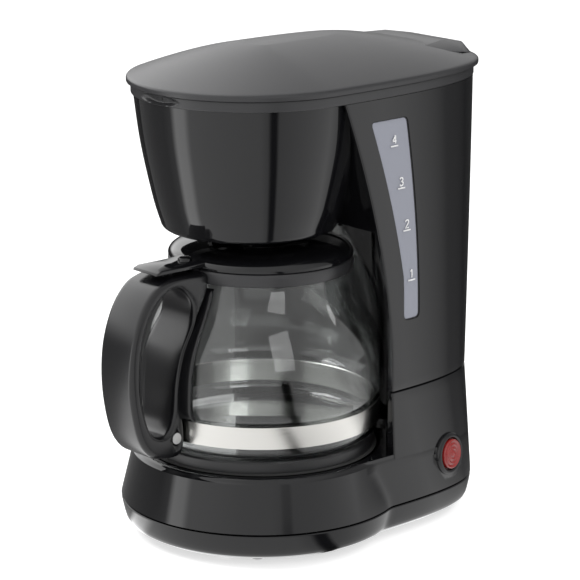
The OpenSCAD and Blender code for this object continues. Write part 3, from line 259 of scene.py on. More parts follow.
def machine(x, y, z):
    """A point of the drawing, in the row frame."""
    return Vector((x * MM, (y - MIDDLE_Y) * MM, z * MM))


def add_ring(mesh, points):
    verts = [mesh.verts.new(machine(*p)) for p in points]
    return [mesh.edges.new(pair) for pair in zip(verts, verts[1:] + verts[:1])]


def add_loft(mesh, rings, caps=True, closed_chain=False):
    """Bridges a chain of closed rings."""
    made = [add_ring(mesh, ring) for ring in rings]
    pairs = list(zip(made, made[1:])) + ([(made[-1], made[0])] if closed_chain else [])
    for low, high in pairs:
        bmesh.ops.bridge_loops(mesh, edges=low + high)
    if caps and not closed_chain:
        for edges in (made[0], made[-1]):
            bmesh.ops.contextual_create(mesh, geom=edges)


def add_turned(mesh, profile, centre=(0.0, 0.0), steps=128):
    """Spins a profile of (radius, height) points full round an upright axis."""
    verts = [mesh.verts.new(machine(centre[0] + r, centre[1], z)) for r, z in profile]
    edges = [mesh.edges.new(pair) for pair in zip(verts, verts[1:])]
    if profile[0][0] > 0 or profile[-1][0] > 0:
        edges.append(mesh.edges.new((verts[-1], verts[0])))
    axis = machine(centre[0], centre[1], 0)
    before = set(mesh.verts) - set(verts)
    bmesh.ops.spin(mesh, geom=verts + edges, cent=axis, axis=(0, 0, 1), angle=math.tau,
                   steps=steps, use_merge=True, use_duplicate=False)
    made = [v for v in mesh.verts if v not in before]
    bmesh.ops.remove_doubles(mesh, verts=made, dist=1e-7)


def add_box(mesh, low, high):
    made = bmesh.ops.create_cube(mesh, size=1.0)["verts"]
    a, b = machine(*low), machine(*high)
    bmesh.ops.scale(mesh, verts=made, vec=b - a)
    bmesh.ops.translate(mesh, verts=made, vec=(a + b) / 2)
    return made


def add_rod(mesh, start, end, r, segments=32):
    """Cylinder between two points of the drawing."""
    a, b = machine(*start), machine(*end)
    turn = (b - a).to_track_quat("Z", "Y").to_matrix().to_4x4()
    bmesh.ops.create_cone(mesh, cap_ends=True, segments=segments, radius1=r * MM, radius2=r * MM,
                          depth=(b - a).length, matrix=Matrix.Translation((a + b) / 2) @ turn)


def add_side_plate(mesh, outline, half_w, middle_x=0.0):
    """Outline in Y and Z, extruded along X."""
    verts = [mesh.verts.new(machine(middle_x - half_w, y, z)) for y, z in outline]
    face = mesh.faces.new(verts)
    made = bmesh.ops.extrude_face_region(mesh, geom=[face])
    moved = [v for v in made["geom"] if isinstance(v, bmesh.types.BMVert)]
    bmesh.ops.translate(mesh, verts=moved, vec=(2 * half_w * MM, 0, 0))
    return verts + moved


def round_edges(mesh, width, segments, angle):
    """Bevels the edges that turn by more than an angle."""
    limit = math.radians(angle)
    edges = [e for e in mesh.edges if e.is_manifold and e.calc_face_angle(0) > limit]
    bmesh.ops.bevel(mesh, geom=edges, offset=width * MM, offset_type="OFFSET", segments=segments,
                    profile=0.5, affect="EDGES", clamp_overlap=True, material=-1)


def outward(mesh):
    bmesh.ops.remove_doubles(mesh, verts=mesh.verts, dist=1e-7)
    bmesh.ops.recalc_face_normals(mesh, faces=mesh.faces)


def to_object(name, mesh):
    data = bpy.data.meshes.new(name)
    mesh.to_mesh(data)
    mesh.free()
    piece = bpy.data.objects.new(name, data)
    bpy.context.scene.collection.objects.link(piece)
    return piece


def solid(name, add, *args, **options):
    """Object of one body, drawn by one of the functions above."""
    mesh = bmesh.new()
    add(mesh, *args, **options)
    outward(mesh)
    return to_object(name, mesh)


def carve(piece, cutters):
    """Cuts the cutters out of a piece and leaves a plain mesh."""
    for cutter in cutters:
        modifier = piece.modifiers.new("carve", "BOOLEAN")
        modifier.operation = "DIFFERENCE"
        modifier.solver = "EXACT"
        modifier.object = cutter
    flatten(piece)
    for cutter in cutters:
        bpy.data.objects.remove(cutter)


def flatten(piece):
    """Applies every modifier."""
    graph = bpy.context.evaluated_depsgraph_get()
    data = bpy.data.meshes.new_from_object(piece.evaluated_get(graph), depsgraph=graph)
    piece.modifiers.clear()
    old = piece.data
    piece.data = data
    bpy.data.meshes.remove(old)


def edge_modifier(piece, width, segments, angle=35):
    """Rounds the edges that turn by more than an angle."""
    modifier = piece.modifiers.new("edges", "BEVEL")
    modifier.width = width * MM
    modifier.segments = segments
    modifier.limit_method = "ANGLE"
    modifier.angle_limit = math.radians(angle)
    modifier.use_clamp_overlap = True
    modifier.harden_normals = True


def dress(piece, material, body, stands_for, smooth=SMOOTH_ANGLE):
    """Finish, shading, body and the node that the piece stands for."""
    piece.data.materials.clear()
    piece.data.materials.append(finish(material))
    piece.data.shade_smooth()
    if smooth:
        piece.data.set_sharp_from_angle(angle=smooth)
    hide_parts(*stands_for)
    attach(piece, body)


# ---- Finishes ----


def new_group(name, inputs, outputs):
    group = bpy.data.node_groups.new(name, "ShaderNodeTree")
    for label, kind, default in inputs:
        socket = group.interface.new_socket(name=label, in_out="INPUT", socket_type=kind)
        if default is not None:
            socket.default_value = default
    for label, kind in outputs:
        group.interface.new_socket(name=label, in_out="OUTPUT", socket_type=kind)
    return group, group.nodes.new("NodeGroupInput"), group.nodes.new("NodeGroupOutput")


def add_node(tree, kind, operation=None, **values):
    """Shader node with its inputs set by name, or by number as in _1."""
    node = tree.nodes.new("ShaderNode" + kind)
    if operation:
        node.operation = operation
    for label, value in values.items():
        key = int(label[1:]) if label[1:].isdigit() else label.replace("_", " ")
        node.inputs[key].default_value = value
    return node


def wire(tree, *links):
    """Links sockets: a node and its output, a node and its input."""
    for source, output, target, into in links:
        tree.links.new(source.outputs[output], target.inputs[into])


def vary_roughness(group, entry, exit_node, pattern):
    """Spreads the roughness round its value by a pattern."""
    centred = add_node(group, "Math", "SUBTRACT", _1=0.5)
    spread = add_node(group, "Math", "MULTIPLY_ADD")
    wire(group, (pattern, "Fac", centred, 0), (centred, 0, spread, 0),
         (entry, "Variation", spread, 1), (entry, "Roughness", spread, 2),
         (spread, 0, exit_node, "Roughness"))


def surface_group(name, inputs):
    return new_group(name, [(label, "NodeSocketFloat", value) for label, value in inputs],
                     [("Roughness", "NodeSocketFloat"), ("Normal", "NodeSocketVector")])


def moulded_group():
    """Faint waves, grain and handling marks of a moulded surface."""
    name = "moulded_surface"
    if name in bpy.data.node_groups:
        return bpy.data.node_groups[name]
    group, entry, exit_node = surface_group(
        name, [("Roughness", 0.1), ("Variation", 0.03), ("Grain Scale", 1800.0),
               ("Grain Depth", 0.02), ("Wave Depth", 0.02)])
    where = add_node(group, "TexCoord")
    smears = add_node(group, "TexNoise", Scale=38.0, Detail=5.0)
    grain = add_node(group, "TexNoise", Detail=2.0)
    waves = add_node(group, "TexNoise", Scale=14.0, Detail=1.0)
    grain_bump = add_node(group, "Bump", Distance=0.0002)
    wave_bump = add_node(group, "Bump", Distance=0.002)
    for texture in (smears, grain, waves):
        wire(group, (where, "Object", texture, "Vector"))
    wire(group, (entry, "Grain Scale", grain, "Scale"),
         (waves, "Fac", wave_bump, "Height"), (entry, "Wave Depth", wave_bump, "Strength"),
         (wave_bump, "Normal", grain_bump, "Normal"),
         (grain, "Fac", grain_bump, "Height"), (entry, "Grain Depth", grain_bump, "Strength"),
         (grain_bump, "Normal", exit_node, "Normal"))
    vary_roughness(group, entry, exit_node, smears)
    return group


def brushed_group():
    """Fine lines round an upright axis, as on rolled steel."""
    name = "brushed_round"
    if name in bpy.data.node_groups:
        return bpy.data.node_groups[name]
    group, entry, exit_node = surface_group(
        name, [("Roughness", 0.25), ("Variation", 0.1), ("Line Scale", 900.0), ("Depth", 0.15)])
    where = add_node(group, "TexCoord")
    squeeze = add_node(group, "Mapping", Scale=(0.02, 0.02, 1.0))
    lines = add_node(group, "TexNoise", Detail=3.0)
    bump = add_node(group, "Bump", Distance=0.0002)
    wire(group, (where, "Object", squeeze, "Vector"), (squeeze, "Vector", lines, "Vector"),
         (entry, "Line Scale", lines, "Scale"), (lines, "Fac", bump, "Height"),
         (entry, "Depth", bump, "Strength"), (bump, "Normal", exit_node, "Normal"))
    vary_roughness(group, entry, exit_node, lines)
    return group


# Each finish: its colour or that colour's setting, roughness, surface values, shader inputs
FINISHES = {
    "gloss_black": ("gloss_black", 0.045,
                    {"Variation": 0.02, "Grain Depth": 0.0, "Wave Depth": 0.02}, {"IOR": 1.5}),
    "satin_black": ("satin_black", 0.34,
                    {"Variation": 0.05, "Grain Scale": 2600.0, "Grain Depth": 0.25}, {"IOR": 1.5}),
    "handle_black": ("gloss_black", 0.22, {"Variation": 0.04, "Grain Depth": 0.06}, {}),
    "matt_black": ("matt_black", 0.45, {"Grain Depth": 0.2}, {}),
    "carafe_glass": ((0.96, 0.975, 0.97), 0.0,
                     {"Variation": 0.0, "Grain Depth": 0.0, "Wave Depth": 0.03},
                     {"Transmission Weight": 1.0, "IOR": 1.5}),
    "gauge_window": ("window_grey", 0.28, {"Grain Depth": 0.05}, {"IOR": 1.45}),
    "brushed_band": ("band_steel", 0.24, {}, {"Metallic": 1.0}),
    "zinc_steel": ((0.62, 0.62, 0.60), 0.28, {"Variation": 0.12}, {"Metallic": 1.0}),
    "black_rubber": ((0.018, 0.018, 0.018), 0.6, {"Grain Depth": 0.4}, {}),
    "silicone": ((0.72, 0.70, 0.66), 0.35, {"Variation": 0.05},
                 {"Subsurface Weight": 0.3, "Subsurface Scale": 0.003}),
    "milky_plastic": ((0.66, 0.68, 0.70), 0.3, {"Variation": 0.05},
                      {"Subsurface Weight": 0.4, "Subsurface Scale": 0.004}),
    "drawn_aluminium": ((0.60, 0.61, 0.62), 0.32, {}, {"Metallic": 1.0}),
    "dark_sheath": ((0.16, 0.15, 0.14), 0.42, {}, {"Metallic": 0.8}),
    "plate_coating": ((0.012, 0.012, 0.013), 0.30,
                      {"Grain Scale": 3200.0, "Grain Depth": 0.5, "Variation": 0.08}, {}),
    "white_print": ((0.86, 0.86, 0.86), 0.5, {}, {}),
    "white_insulator": ((0.76, 0.76, 0.74), 0.4, {}, {}),
    "red_lens": ("lens_red", 0.12, {"Grain Depth": 0.0}, {"Coat Weight": 0.6}),
    "lamp_red": ((0.5, 0.05, 0.03), 0.2, {}, {}),
    "lead_sleeve": ((0.36, 0.03, 0.025), 0.45, {}, {}),
}
BRUSHED = {"brushed_band", "drawn_aluminium"}

SLOT_FINISHES = {
    "black_gloss": "gloss_black", "black_satin": "satin_black", "black_matte": "matt_black",
    "plate_coat": "plate_coating", "black_rubber": "black_rubber", "silicone": "silicone",
    "clear_glass": "carafe_glass", "band_steel": "brushed_band", "zinc_steel": "zinc_steel",
    "heater_alu": "drawn_aluminium", "rod_steel": "dark_sheath", "milky_plastic": "milky_plastic",
    "smoked_window": "gauge_window", "white_print": "white_print", "red_clear": "red_lens",
    "lamp_red": "lamp_red", "white_insulator": "white_insulator", "lead_sleeve": "lead_sleeve",
}


def finish(name):
    """A material of one Principled BSDF, textured by a node group."""
    if name in bpy.data.materials:
        return bpy.data.materials[name]
    base, rough, surface_values, inputs = FINISHES[name]
    if isinstance(base, str):
        base = tuple(getattr(settings()[2], base))
    material = bpy.data.materials.new(name)
    material.use_nodes = True
    tree = material.node_tree
    shader = tree.nodes["Principled BSDF"]
    shader.inputs["Base Color"].default_value = (*base, 1.0)
    shader.inputs["Roughness"].default_value = rough
    for label, value in inputs.items():
        shader.inputs[label].default_value = value
    surface = tree.nodes.new("ShaderNodeGroup")
    surface.node_tree = brushed_group() if name in BRUSHED else moulded_group()
    surface.inputs["Roughness"].default_value = rough
    for label, value in surface_values.items():
        surface.inputs[label].default_value = value
    wire(tree, (surface, "Roughness", shader, "Roughness"), (surface, "Normal", shader, "Normal"))
    return material


# ---- Operators, one for each piece or group of like pieces ----


class PieceOperator:
    """Ending that the operators share."""

    def execute(self, context):
        self.build(context)
        return {"FINISHED"}


class NodeFinishes(PieceOperator, Operator):
    """Gives the pieces that keep their own shape their finish"""

    bl_idname = "maker.node_finishes"
    bl_label = "Finishes of the plain pieces"

    def build(self, context):
        slots = {s["node"]: s["material_slot"] for s in frame["record"]["subparts"]}
        for node, piece in frame["nodes"].items():
            material = finish(SLOT_FINISHES[slots[node]])
            if piece.material_slots:
                for held in piece.material_slots:
                    held.link = "OBJECT"
                    held.material = material
            else:
                piece.data.materials.append(material)


def round_outline(z, circle_r, inset, count=240, soft=1.2):
    """Outline of the round base joined with the tower's section, by direction."""
    section = section_at(max(z, SEAM_Z), inset)
    tower = plan_outline(section[0], TOWER_FRONT, section[1], section[2], 720)
    result = []
    for i in range(count):
        a = math.tau * i / count
        direction = (math.cos(a), math.sin(a))
        reach = 0.0
        for p, q in zip(tower, tower[1:] + tower[:1]):
            along = q[0] - p[0], q[1] - p[1]
            cross = direction[0] * along[1] - direction[1] * along[0]
            if abs(cross) < 1e-9:
                continue
            far = (p[0] * along[1] - p[1] * along[0]) / cross
            part = (p[0] * direction[1] - p[1] * direction[0]) / cross
            if far > 0 and -1e-6 <= part <= 1 + 1e-6:
                reach = max(reach, far)
        gap = abs(reach - circle_r)
        blend = max(0.0, 1 - gap / soft) ** 2 * soft / 4
        r = max(reach, circle_r) + blend
        result.append((r * direction[0], r * direction[1]))
    return result


def soften(points, r, turn=45.0, steps=4):
    """The closed outline with its sharp corners rounded."""
    result = []
    count = len(points)
    for i in range(count):
        a, b, c = points[i - 1], points[i], points[(i + 1) % count]
        into = math.atan2(b[1] - a[1], b[0] - a[0])
        out = math.atan2(c[1] - b[1], c[0] - b[0])
        bend = abs((out - into + math.pi) % math.tau - math.pi)
        if bend < math.radians(turn):
            result.append(b)
            continue
        start = b[0] - r * math.cos(into), b[1] - r * math.sin(into)
        end = b[0] + r * math.cos(out), b[1] + r * math.sin(out)
        for k in range(steps + 1):
            t = k / steps
            result.append(tuple((1 - t) ** 2 * p + 2 * t * (1 - t) * q + t * t * w
                                for p, q, w in zip(start, b, end)))
    return result


def tower_ring(z, inset=0.0):
    """C-shaped section of the tower at a height."""
    front = wing_y(z)
    half_w, back, square = section_at(z, inset)
    start = math.asin(((front - PLAN_Y) / (back - PLAN_Y)) ** (square / 2))
    outer = []
    for i in range(241):
        a = mix(start, math.pi - start, i / 240)
        outer.append((half_w * signed_power(math.cos(a), 2 / square),
                      PLAN_Y + (back - PLAN_Y) * math.sin(a) ** (2 / square)))
    outer = even_points(outer, 141)
    side = WING_X
    corner = math.degrees(math.acos(side / BAY_R))
    arc = arc_points(0, 0, BAY_R, 180 - corner, corner, 56)
    left = [(-side, mix(front, arc[0][1], t)) for t in (0.0, 0.33, 0.67)]
    right = [(side, mix(arc[-1][1], front, t)) for t in (0.33, 0.67, 1.0)]
    edge = settings()[0].edge_round / MM
    return at_height(soften(outer + left + arc + right, edge), z)


class BottomCover(PieceOperator, Operator):
    """Bottom cover of the base, with its sunk screws' holes"""

    bl_idname = "maker.bottom_cover"
    bl_label = "Bottom cover"

    def build(self, context):
        gap = settings()[0].seam_gap / MM
        levels = [(FOOT_Z, 60.7, 11.0), (3.1, 64.6, 7.8), (FOOT_Z + 2.5, 68.0, 5.0),
                  (5.7, 69.6, 3.8),
                  (FOOT_Z + 4, 70.8, 2.8), (8.5, 72.0, 1.9), (FOOT_Z + 8.7, 72.8, 1.3),
                  (14.6, 73.6, 0.7), (SEAM_Z - gap - 0.5, 74.2, 0.3), (SEAM_Z - gap, 73.8, 0.7)]
        piece = solid("bottom_cover_shell", add_loft,
                      [at_height(round_outline(SEAM_Z, r, inset), z) for z, r, inset in levels])
        cutters = bmesh.new()
        for x, y in [(27.5, -48), (-27.5, -48), (42, 90), (-42, 90)]:
            add_rod(cutters, (x, y, 0), (x, y, FOOT_Z + 2.8), 3.4)
        for x in range(-20, 21, 10):
            add_box(cutters, (x - 1.5, -22, 0), (x + 1.5, 22, 6))
        carve(piece, [to_object("cutter", cutters)])
        edge_modifier(piece, 0.3, 2)
        dress(piece, "gloss_black", "housing", ["bottom_cover"])


class RubberFeet(PieceOperator, Operator):
    """Six rubber feet"""

    bl_idname = "maker.rubber_feet"
    bl_label = "Rubber feet"

    def build(self, context):
        mesh = bmesh.new()
        for x, y in [(-39, -36), (39, -36), (-51, 31), (51, 31), (-30, 96), (30, 96)]:
            add_turned(mesh, [(0, 0.3), (3.4, 0.3), (3.6, 0), (4.1, 0), (4.5, 0.3), (4.7, 0.8),
                              (4.7, FOOT_Z), (2.4, FOOT_Z), (2.3, 5), (0, 5)], (x, y), 48)
        outward(mesh)
        dress(to_object("rubber_foot_set", mesh), "black_rubber", "housing",
              ["rubber_feet"])


class BaseShell(PieceOperator, Operator):
    """Skirt, deck and the tower's foot"""

    bl_idname = "maker.base_shell"
    bl_label = "Base shell"

    def build(self, context):
        gap = settings()[0].seam_gap / MM
        low = SEAM_Z + gap
        rings = [at_height(round_outline(SEAM_Z, 73.7, 0.8), low),
                 at_height(round_outline(SEAM_Z, 74.3, 0.2), low + 0.4)]
        top_round = 2.5
        for i in range(1, 7):
            z = mix(low + 0.6, DECK_Z - top_round, i / 6)
            t = (z - SEAM_Z) / (DECK_Z - SEAM_Z)
            rings.append(at_height(round_outline(z, mix(74.5, 67.7, t), 0), z))
        for a in (18, 36, 54, 72, 90):
            r = 67.5 - top_round + top_round * math.cos(math.radians(a))
            z = DECK_Z - top_round + top_round * math.sin(math.radians(a))
            rings.append(at_height(round_outline(z, r, 0.4), z))
        for r, drop in ((63.0, 0), (62.6, 0.4), (62.6, 1.6), (54.0, 1.6)):
            rings.append([(r * math.cos(math.tau * i / 240), r * math.sin(math.tau * i / 240),
                           DECK_Z - drop) for i in range(240)])
        skirt = solid("skirt", add_loft, rings, caps=False)
        levels = [(DECK_Z - 3, 0)]
        levels += [(mix(DECK_Z - 1, MID_Z - gap - 0.6, i / 6), 0) for i in range(7)]
        levels += [(MID_Z - gap - 0.2, 0.15), (MID_Z - gap, 0.6)]
        foot = solid("tower_foot", add_loft, [tower_ring(z, inset) for z, inset in levels])
        for shell in (foot, skirt):
            hole = bmesh.new()
            put_switch(hole, [(0, -6), (11.8, -6), (11.8, 9), (0, 9)])
            carve(shell, [to_object("cutter", hole)])
        dress(join("base_housing", [skirt, foot]), "gloss_black", "housing",
              ["base_shell"])


def join(name, pieces):
    """One mesh out of several."""
    mesh = bmesh.new()
    for piece in pieces:
        mesh.from_mesh(piece.data)
        bpy.data.objects.remove(piece)
    return to_object(name, mesh)


SWITCH_CENTRE = (62.4162, 79.0, 37.5)
SWITCH_TURN = math.radians(11.515)
SWITCH_LIFT = math.radians(3.97148)


def switch_matrix():
    """From the switch's own axes, with +Z out of the housing, to the row frame."""
    lift = Matrix.Rotation(math.pi / 2 - SWITCH_LIFT, 4, "Y")
    turn = Matrix.Rotation(SWITCH_TURN, 4, "Z") @ lift
    return Matrix.Translation(machine(*SWITCH_CENTRE)) @ turn


def put_switch(mesh, profile, steps=96):
    """Turned piece on the switch's axis."""
    before = set(mesh.verts)
    add_turned(mesh, profile, steps=steps)
    made = [v for v in mesh.verts if v not in before]
    bmesh.ops.translate(mesh, verts=made, vec=-machine(0, 0, 0))
    bmesh.ops.transform(mesh, matrix=switch_matrix(), verts=made)


class SwitchPieces(PieceOperator, Operator):
    """Bezel and red push button of the switch"""

    bl_idname = "maker.switch_pieces"
    bl_label = "Switch"

    def build(self, context):
        mesh = bmesh.new()
        put_switch(mesh, [(8.3, -6), (9.6, -6), (9.6, -1.4), (11.5, -1.4), (11.5, 0.9),
                          (11.2, 1.5), (10.4, 2.1), (9.6, 2.2), (8.9, 1.9), (8.5, 1.2),
                          (8.3, 0.2)])
        outward(mesh)
        dress(to_object("switch_ring", mesh), "gloss_black", "housing",
              ["switch_bezel"], math.radians(50))
        mesh = bmesh.new()
        put_switch(mesh, [(0, -11), (6.4, -11), (8, -11), (8, 2.2), (7.8, 2.7), (7.3, 2.9),
                          (6.7, 2.5), (6.1, 2.4), (5.6, 2.9), (5.1, 3.2), (4.6, 2.9), (4.2, 2.6),
                          (3.7, 2.7), (3.3, 3.2), (2.9, 3.4), (2.5, 3.2), (2.1, 2.9), (1.7, 3.0),
                          (1.3, 3.5), (0.7, 3.7), (0, 3.7)])
        outward(mesh)
        dress(to_object("button_lens", mesh), "red_lens", "button",
              ["switch_button"], math.radians(50))


def window_front_y(z):
    return min(WING_LOW_Y + 8.5, wing_y(z) + 13.0)


def window_back_y(z):
    return 56 - 9.5 * max(0.0, (z - 126) / 99) ** 1.8


def window_outline(inset, corner=3.2):
    low, high = WINDOW_LOW_Z + inset, WINDOW_HIGH_Z - inset
    front = [(window_front_y(mix(low, high, i / 14)) + inset, mix(low, high, i / 14))
             for i in range(15)]
    back = [(window_back_y(mix(high, low, i / 14)) - inset, mix(high, low, i / 14))
            for i in range(15)]
    return soften(front + back, max(0.6, corner - inset))


class TowerShell(PieceOperator, Operator):
    """Tower with its two wings and the window's opening"""

    bl_idname = "maker.tower_shell"
    bl_label = "Tower"

    def build(self, context):
        gap = settings()[0].seam_gap / MM
        levels = [(MID_Z + gap, 0.6), (MID_Z + gap + 0.2, 0.15)]
        levels += [(mix(MID_Z + gap + 0.6, RIM_Z - 0.02, i / 40), 0) for i in range(41)]
        piece = solid("tower_housing", add_loft, [tower_ring(z, inset) for z, inset in levels])
        carve(piece, [solid("cutter", add_side_plate, window_outline(0.0), 5.0, 61.0)])
        dress(piece, "gloss_black", "housing", ["tower_shell"])


def on_skin(points, depth):
    return [(skin_x(y, z, depth), y, z) for y, z in points]


class WaterGauge(PieceOperator, Operator):
    """Window of the water gauge and its seal"""

    bl_idname = "maker.water_gauge"
    bl_label = "Water gauge"

    def build(self, context):
        for name, depths, insets, material, slot, node in (
                ("gauge_pane", (2.2, 0.8, 0.6), (0.55, 0.55, 0.8), "gauge_window",
                 "smoked_window", "level_window"),
                ("gauge_seal", (2.0, 0.45, 0.45, 2.0), (0.1, 0.1, 0.5, 0.5), "black_rubber",
                 "black_rubber", "window_seal")):
            rings = [on_skin(window_outline(inset), depth) for depth, inset in zip(depths, insets)]
            piece = solid(name, add_loft, rings, closed_chain=name == "gauge_seal")
            dress(piece, material, "housing", [node])


DIGITS = {
    1: (((0.08, 0.8), (0.34, 1.0)), ((0.34, 1.0), (0.34, 0.0))),
    2: (((0.02, 0.76), (0.08, 0.92), (0.3, 1.0), (0.5, 0.93), (0.58, 0.76), (0.5, 0.56),
         (0.0, 0.0), (0.6, 0.0)),),
    3: (((0.02, 0.84), (0.14, 0.97), (0.3, 1.0), (0.49, 0.93), (0.55, 0.76), (0.46, 0.59),
         (0.24, 0.53)),
        ((0.24, 0.53), (0.48, 0.47), (0.6, 0.28), (0.52, 0.08), (0.3, 0.0), (0.12, 0.03),
         (0.0, 0.17))),
    4: (((0.46, 0.0), (0.46, 1.0)), ((0.46, 1.0), (0.0, 0.3)), ((0.0, 0.3), (0.62, 0.3))),
}


class GaugeMarks(PieceOperator, Operator):
    """Lines and cup numbers printed on the water gauge"""

    bl_idname = "maker.gauge_marks"
    bl_label = "Gauge marks"

    def build(self, context):
        mesh = bmesh.new()
        tall, line_w, stroke = 4.2, 5.4, 0.8
        for cups, z in enumerate(MARK_HEIGHTS, 1):
            middle = (window_front_y(z) + window_back_y(z)) / 2
            strokes = [((middle - line_w / 2, z), (middle + line_w / 2, z))]
            for line in DIGITS[cups]:
                strokes.append([(middle + (y - 0.3) * tall, z + 1.3 + up * tall)
                                for y, up in line])
            for line in strokes:
                self.print_line(mesh, line, stroke)
        outward(mesh)
        dress(to_object("gauge_print", mesh), "white_print", "housing",
              ["level_marks"], None)

    def print_line(self, mesh, line, width):
        rings = []
        for i, (y, z) in enumerate(line):
            before, after = line[max(i - 1, 0)], line[min(i + 1, len(line) - 1)]
            along = Vector((after[0] - before[0], after[1] - before[1])).normalized() * width / 2
            left, right = (y - along.y, z + along.x), (y + along.y, z - along.x)
            rings.append(on_skin((left, right), 0.08) + on_skin((right, left), 0.28))
        add_loft(mesh, rings)


class BrewHead(PieceOperator, Operator):
    """Round brew head between the wings"""

    bl_idname = "maker.brew_head"
    bl_label = "Brew head"

    def build(self, context):
        side = smooth_line([(46.4, 168.2), (50.4, 181.5), (56.5, 210), (60.0, RIM_Z)], 8)
        corner = arc_points(42.5, 169, 4, -90, -12, 8)
        outer = [(0, HEAD_Z)] + corner + side[1:]
        inner = [(57.5, RIM_Z), (54.1, 210), (48, 181.5), (44, 169), (41, 167.4), (0, 167.4)]
        cone = solid("head_cone", add_turned, outer + inner, (0, -HEAD_SHIFT), 192)
        flats = []
        for side in (-1, 1):
            levels = [mix(160, 240, i / 20) for i in range(21)]
            edge = [(wing_y(z) - 0.35, z) for z in levels] + [(120, 240), (120, 160)]
            flats.append(solid("cutter", add_side_plate, edge, 20, side * (WING_X - 0.3 + 20)))
        flats.append(solid("cutter", add_rod, (0, 0, 160), (0, 0, 168), 9.6, 96))
        carve(cone, flats)
        skirt = solid("outlet_skirt", add_turned,
                      [(25.6, HEAD_Z + 0.5), (25.6, 161.3), (25.9, 161), (27.7, 161), (28, 161.3),
                       (28, HEAD_Z + 0.5)], steps=TURN_STEPS)
        rings = []
        for i in range(25):
            z = mix(HEAD_Z, RIM_Z, i / 24)
            front = wing_y(z) + 4
            corner_a = math.degrees(math.acos(59.4 / 71.2))
            arc = arc_points(0, 0, 71.2, corner_a, 180 - corner_a, 40)
            rings.append(at_height([(59.4, front)] + arc + [(-59.4, front)], z))
        block = solid("head_block", add_loft, rings)
        edge_modifier(block, 0.5, 2)
        flatten(block)
        dress(join("brew_head_shell", [cone, skirt, block]), "gloss_black", "housing",
              ["brew_head"])


class TopRim(PieceOperator, Operator):
    """Rim under the lid, with the finger notch, the filter's seat and the filling mouth"""

    bl_idname = "maker.top_rim"
    bl_label = "Top rim"

    def build(self, context):
        depth = settings()[0].notch_depth / MM
        rings = []
        levels = [(RIM_Z, 0.6), (RIM_Z + 0.3, 0.15), (RIM_Z + 0.7, 0.0)]
        levels += [(mix(RIM_Z + 1.0, RIM_TOP_Z - 0.5, i / 9), 0.0) for i in range(10)]
        levels += [(RIM_TOP_Z, 0.3)]
        for z, inset in levels:
            ring = []
            for x, y in lid_outline(RIM_IN + inset, 288):
                lens = 1 - (x / 14.5) ** 2 - ((z - RIM_Z - 2.9) / 2.7) ** 2
                if y < 0 and lens > 0:
                    y += depth * min(1.0, lens * 1.6)
                ring.append((x, y, z))
            rings.append(ring)
        piece = solid("rim_band", add_loft, rings)
        pocket = solid("cutter", add_loft, [at_height(lid_outline(RIM_IN + WALL), z)
                                            for z in (RIM_Z + WALL, RIM_Z + 20)])
        seat = bmesh.new()
        add_rod(seat, (0, -HEAD_SHIFT, RIM_Z - 5), (0, -HEAD_SHIFT, RIM_Z + 20), 55.5, 128)
        add_rod(seat, (0, 82.1, RIM_Z - 5), (0, 82.1, RIM_Z + 20), 6.1, 48)
        outline = [p for p in lid_outline(10, 288) if p[1] > 54 and math.hypot(*p) > 76.9]
        arc = [p for p in arc_points(0, 0, 76.9, 135.4, 44.6, 60) if abs(p[0]) > 10]
        left = [p for p in arc if p[0] < 0] + [(-10, 76.2), (-10, 92.1)]
        right = [(10, 92.1), (10, 76.2)] + [p for p in arc if p[0] > 0]
        mouth = solid("cutter", add_loft, [at_height(outline + left + right, z)
                                           for z in (RIM_Z - 5, RIM_Z + 20)])
        carve(piece, [pocket, to_object("cutter", seat), mouth])
        mesh = bmesh.new()
        y, z = HINGE
        add_box(mesh, (-KNUCKLE_W, y - KNUCKLE_R, RIM_Z + 1), (KNUCKLE_W, y + 3.1, z))
        add_rod(mesh, (-KNUCKLE_W, y, z), (KNUCKLE_W, y, z), KNUCKLE_R, 48)
        post = to_object("knuckle", mesh)
        edge_modifier(post, 0.3, 2)
        flatten(post)
        dress(join("top_rim_band", [piece, post]), "satin_black", "housing",
              ["top_rim"])


def crown_ring(d, inset=0.0):
    """Level line of the lid's crown, where it is a distance in from the side."""
    front, back = LID_FRONT - inset - 1.14 * d, LID_BACK - inset - 1.45 * d
    z = LID_EDGE_Z + CROWN_H * (1 - max(0.0, 1 - d / LID_HALF_W) ** 1.5)
    outline = plan_outline(LID_HALF_W - inset - d, max(front, 0.4 - PLAN_Y), back, TOP_SECTION[2],
                           CROWN_POINTS)
    return at_height(outline, z - inset)


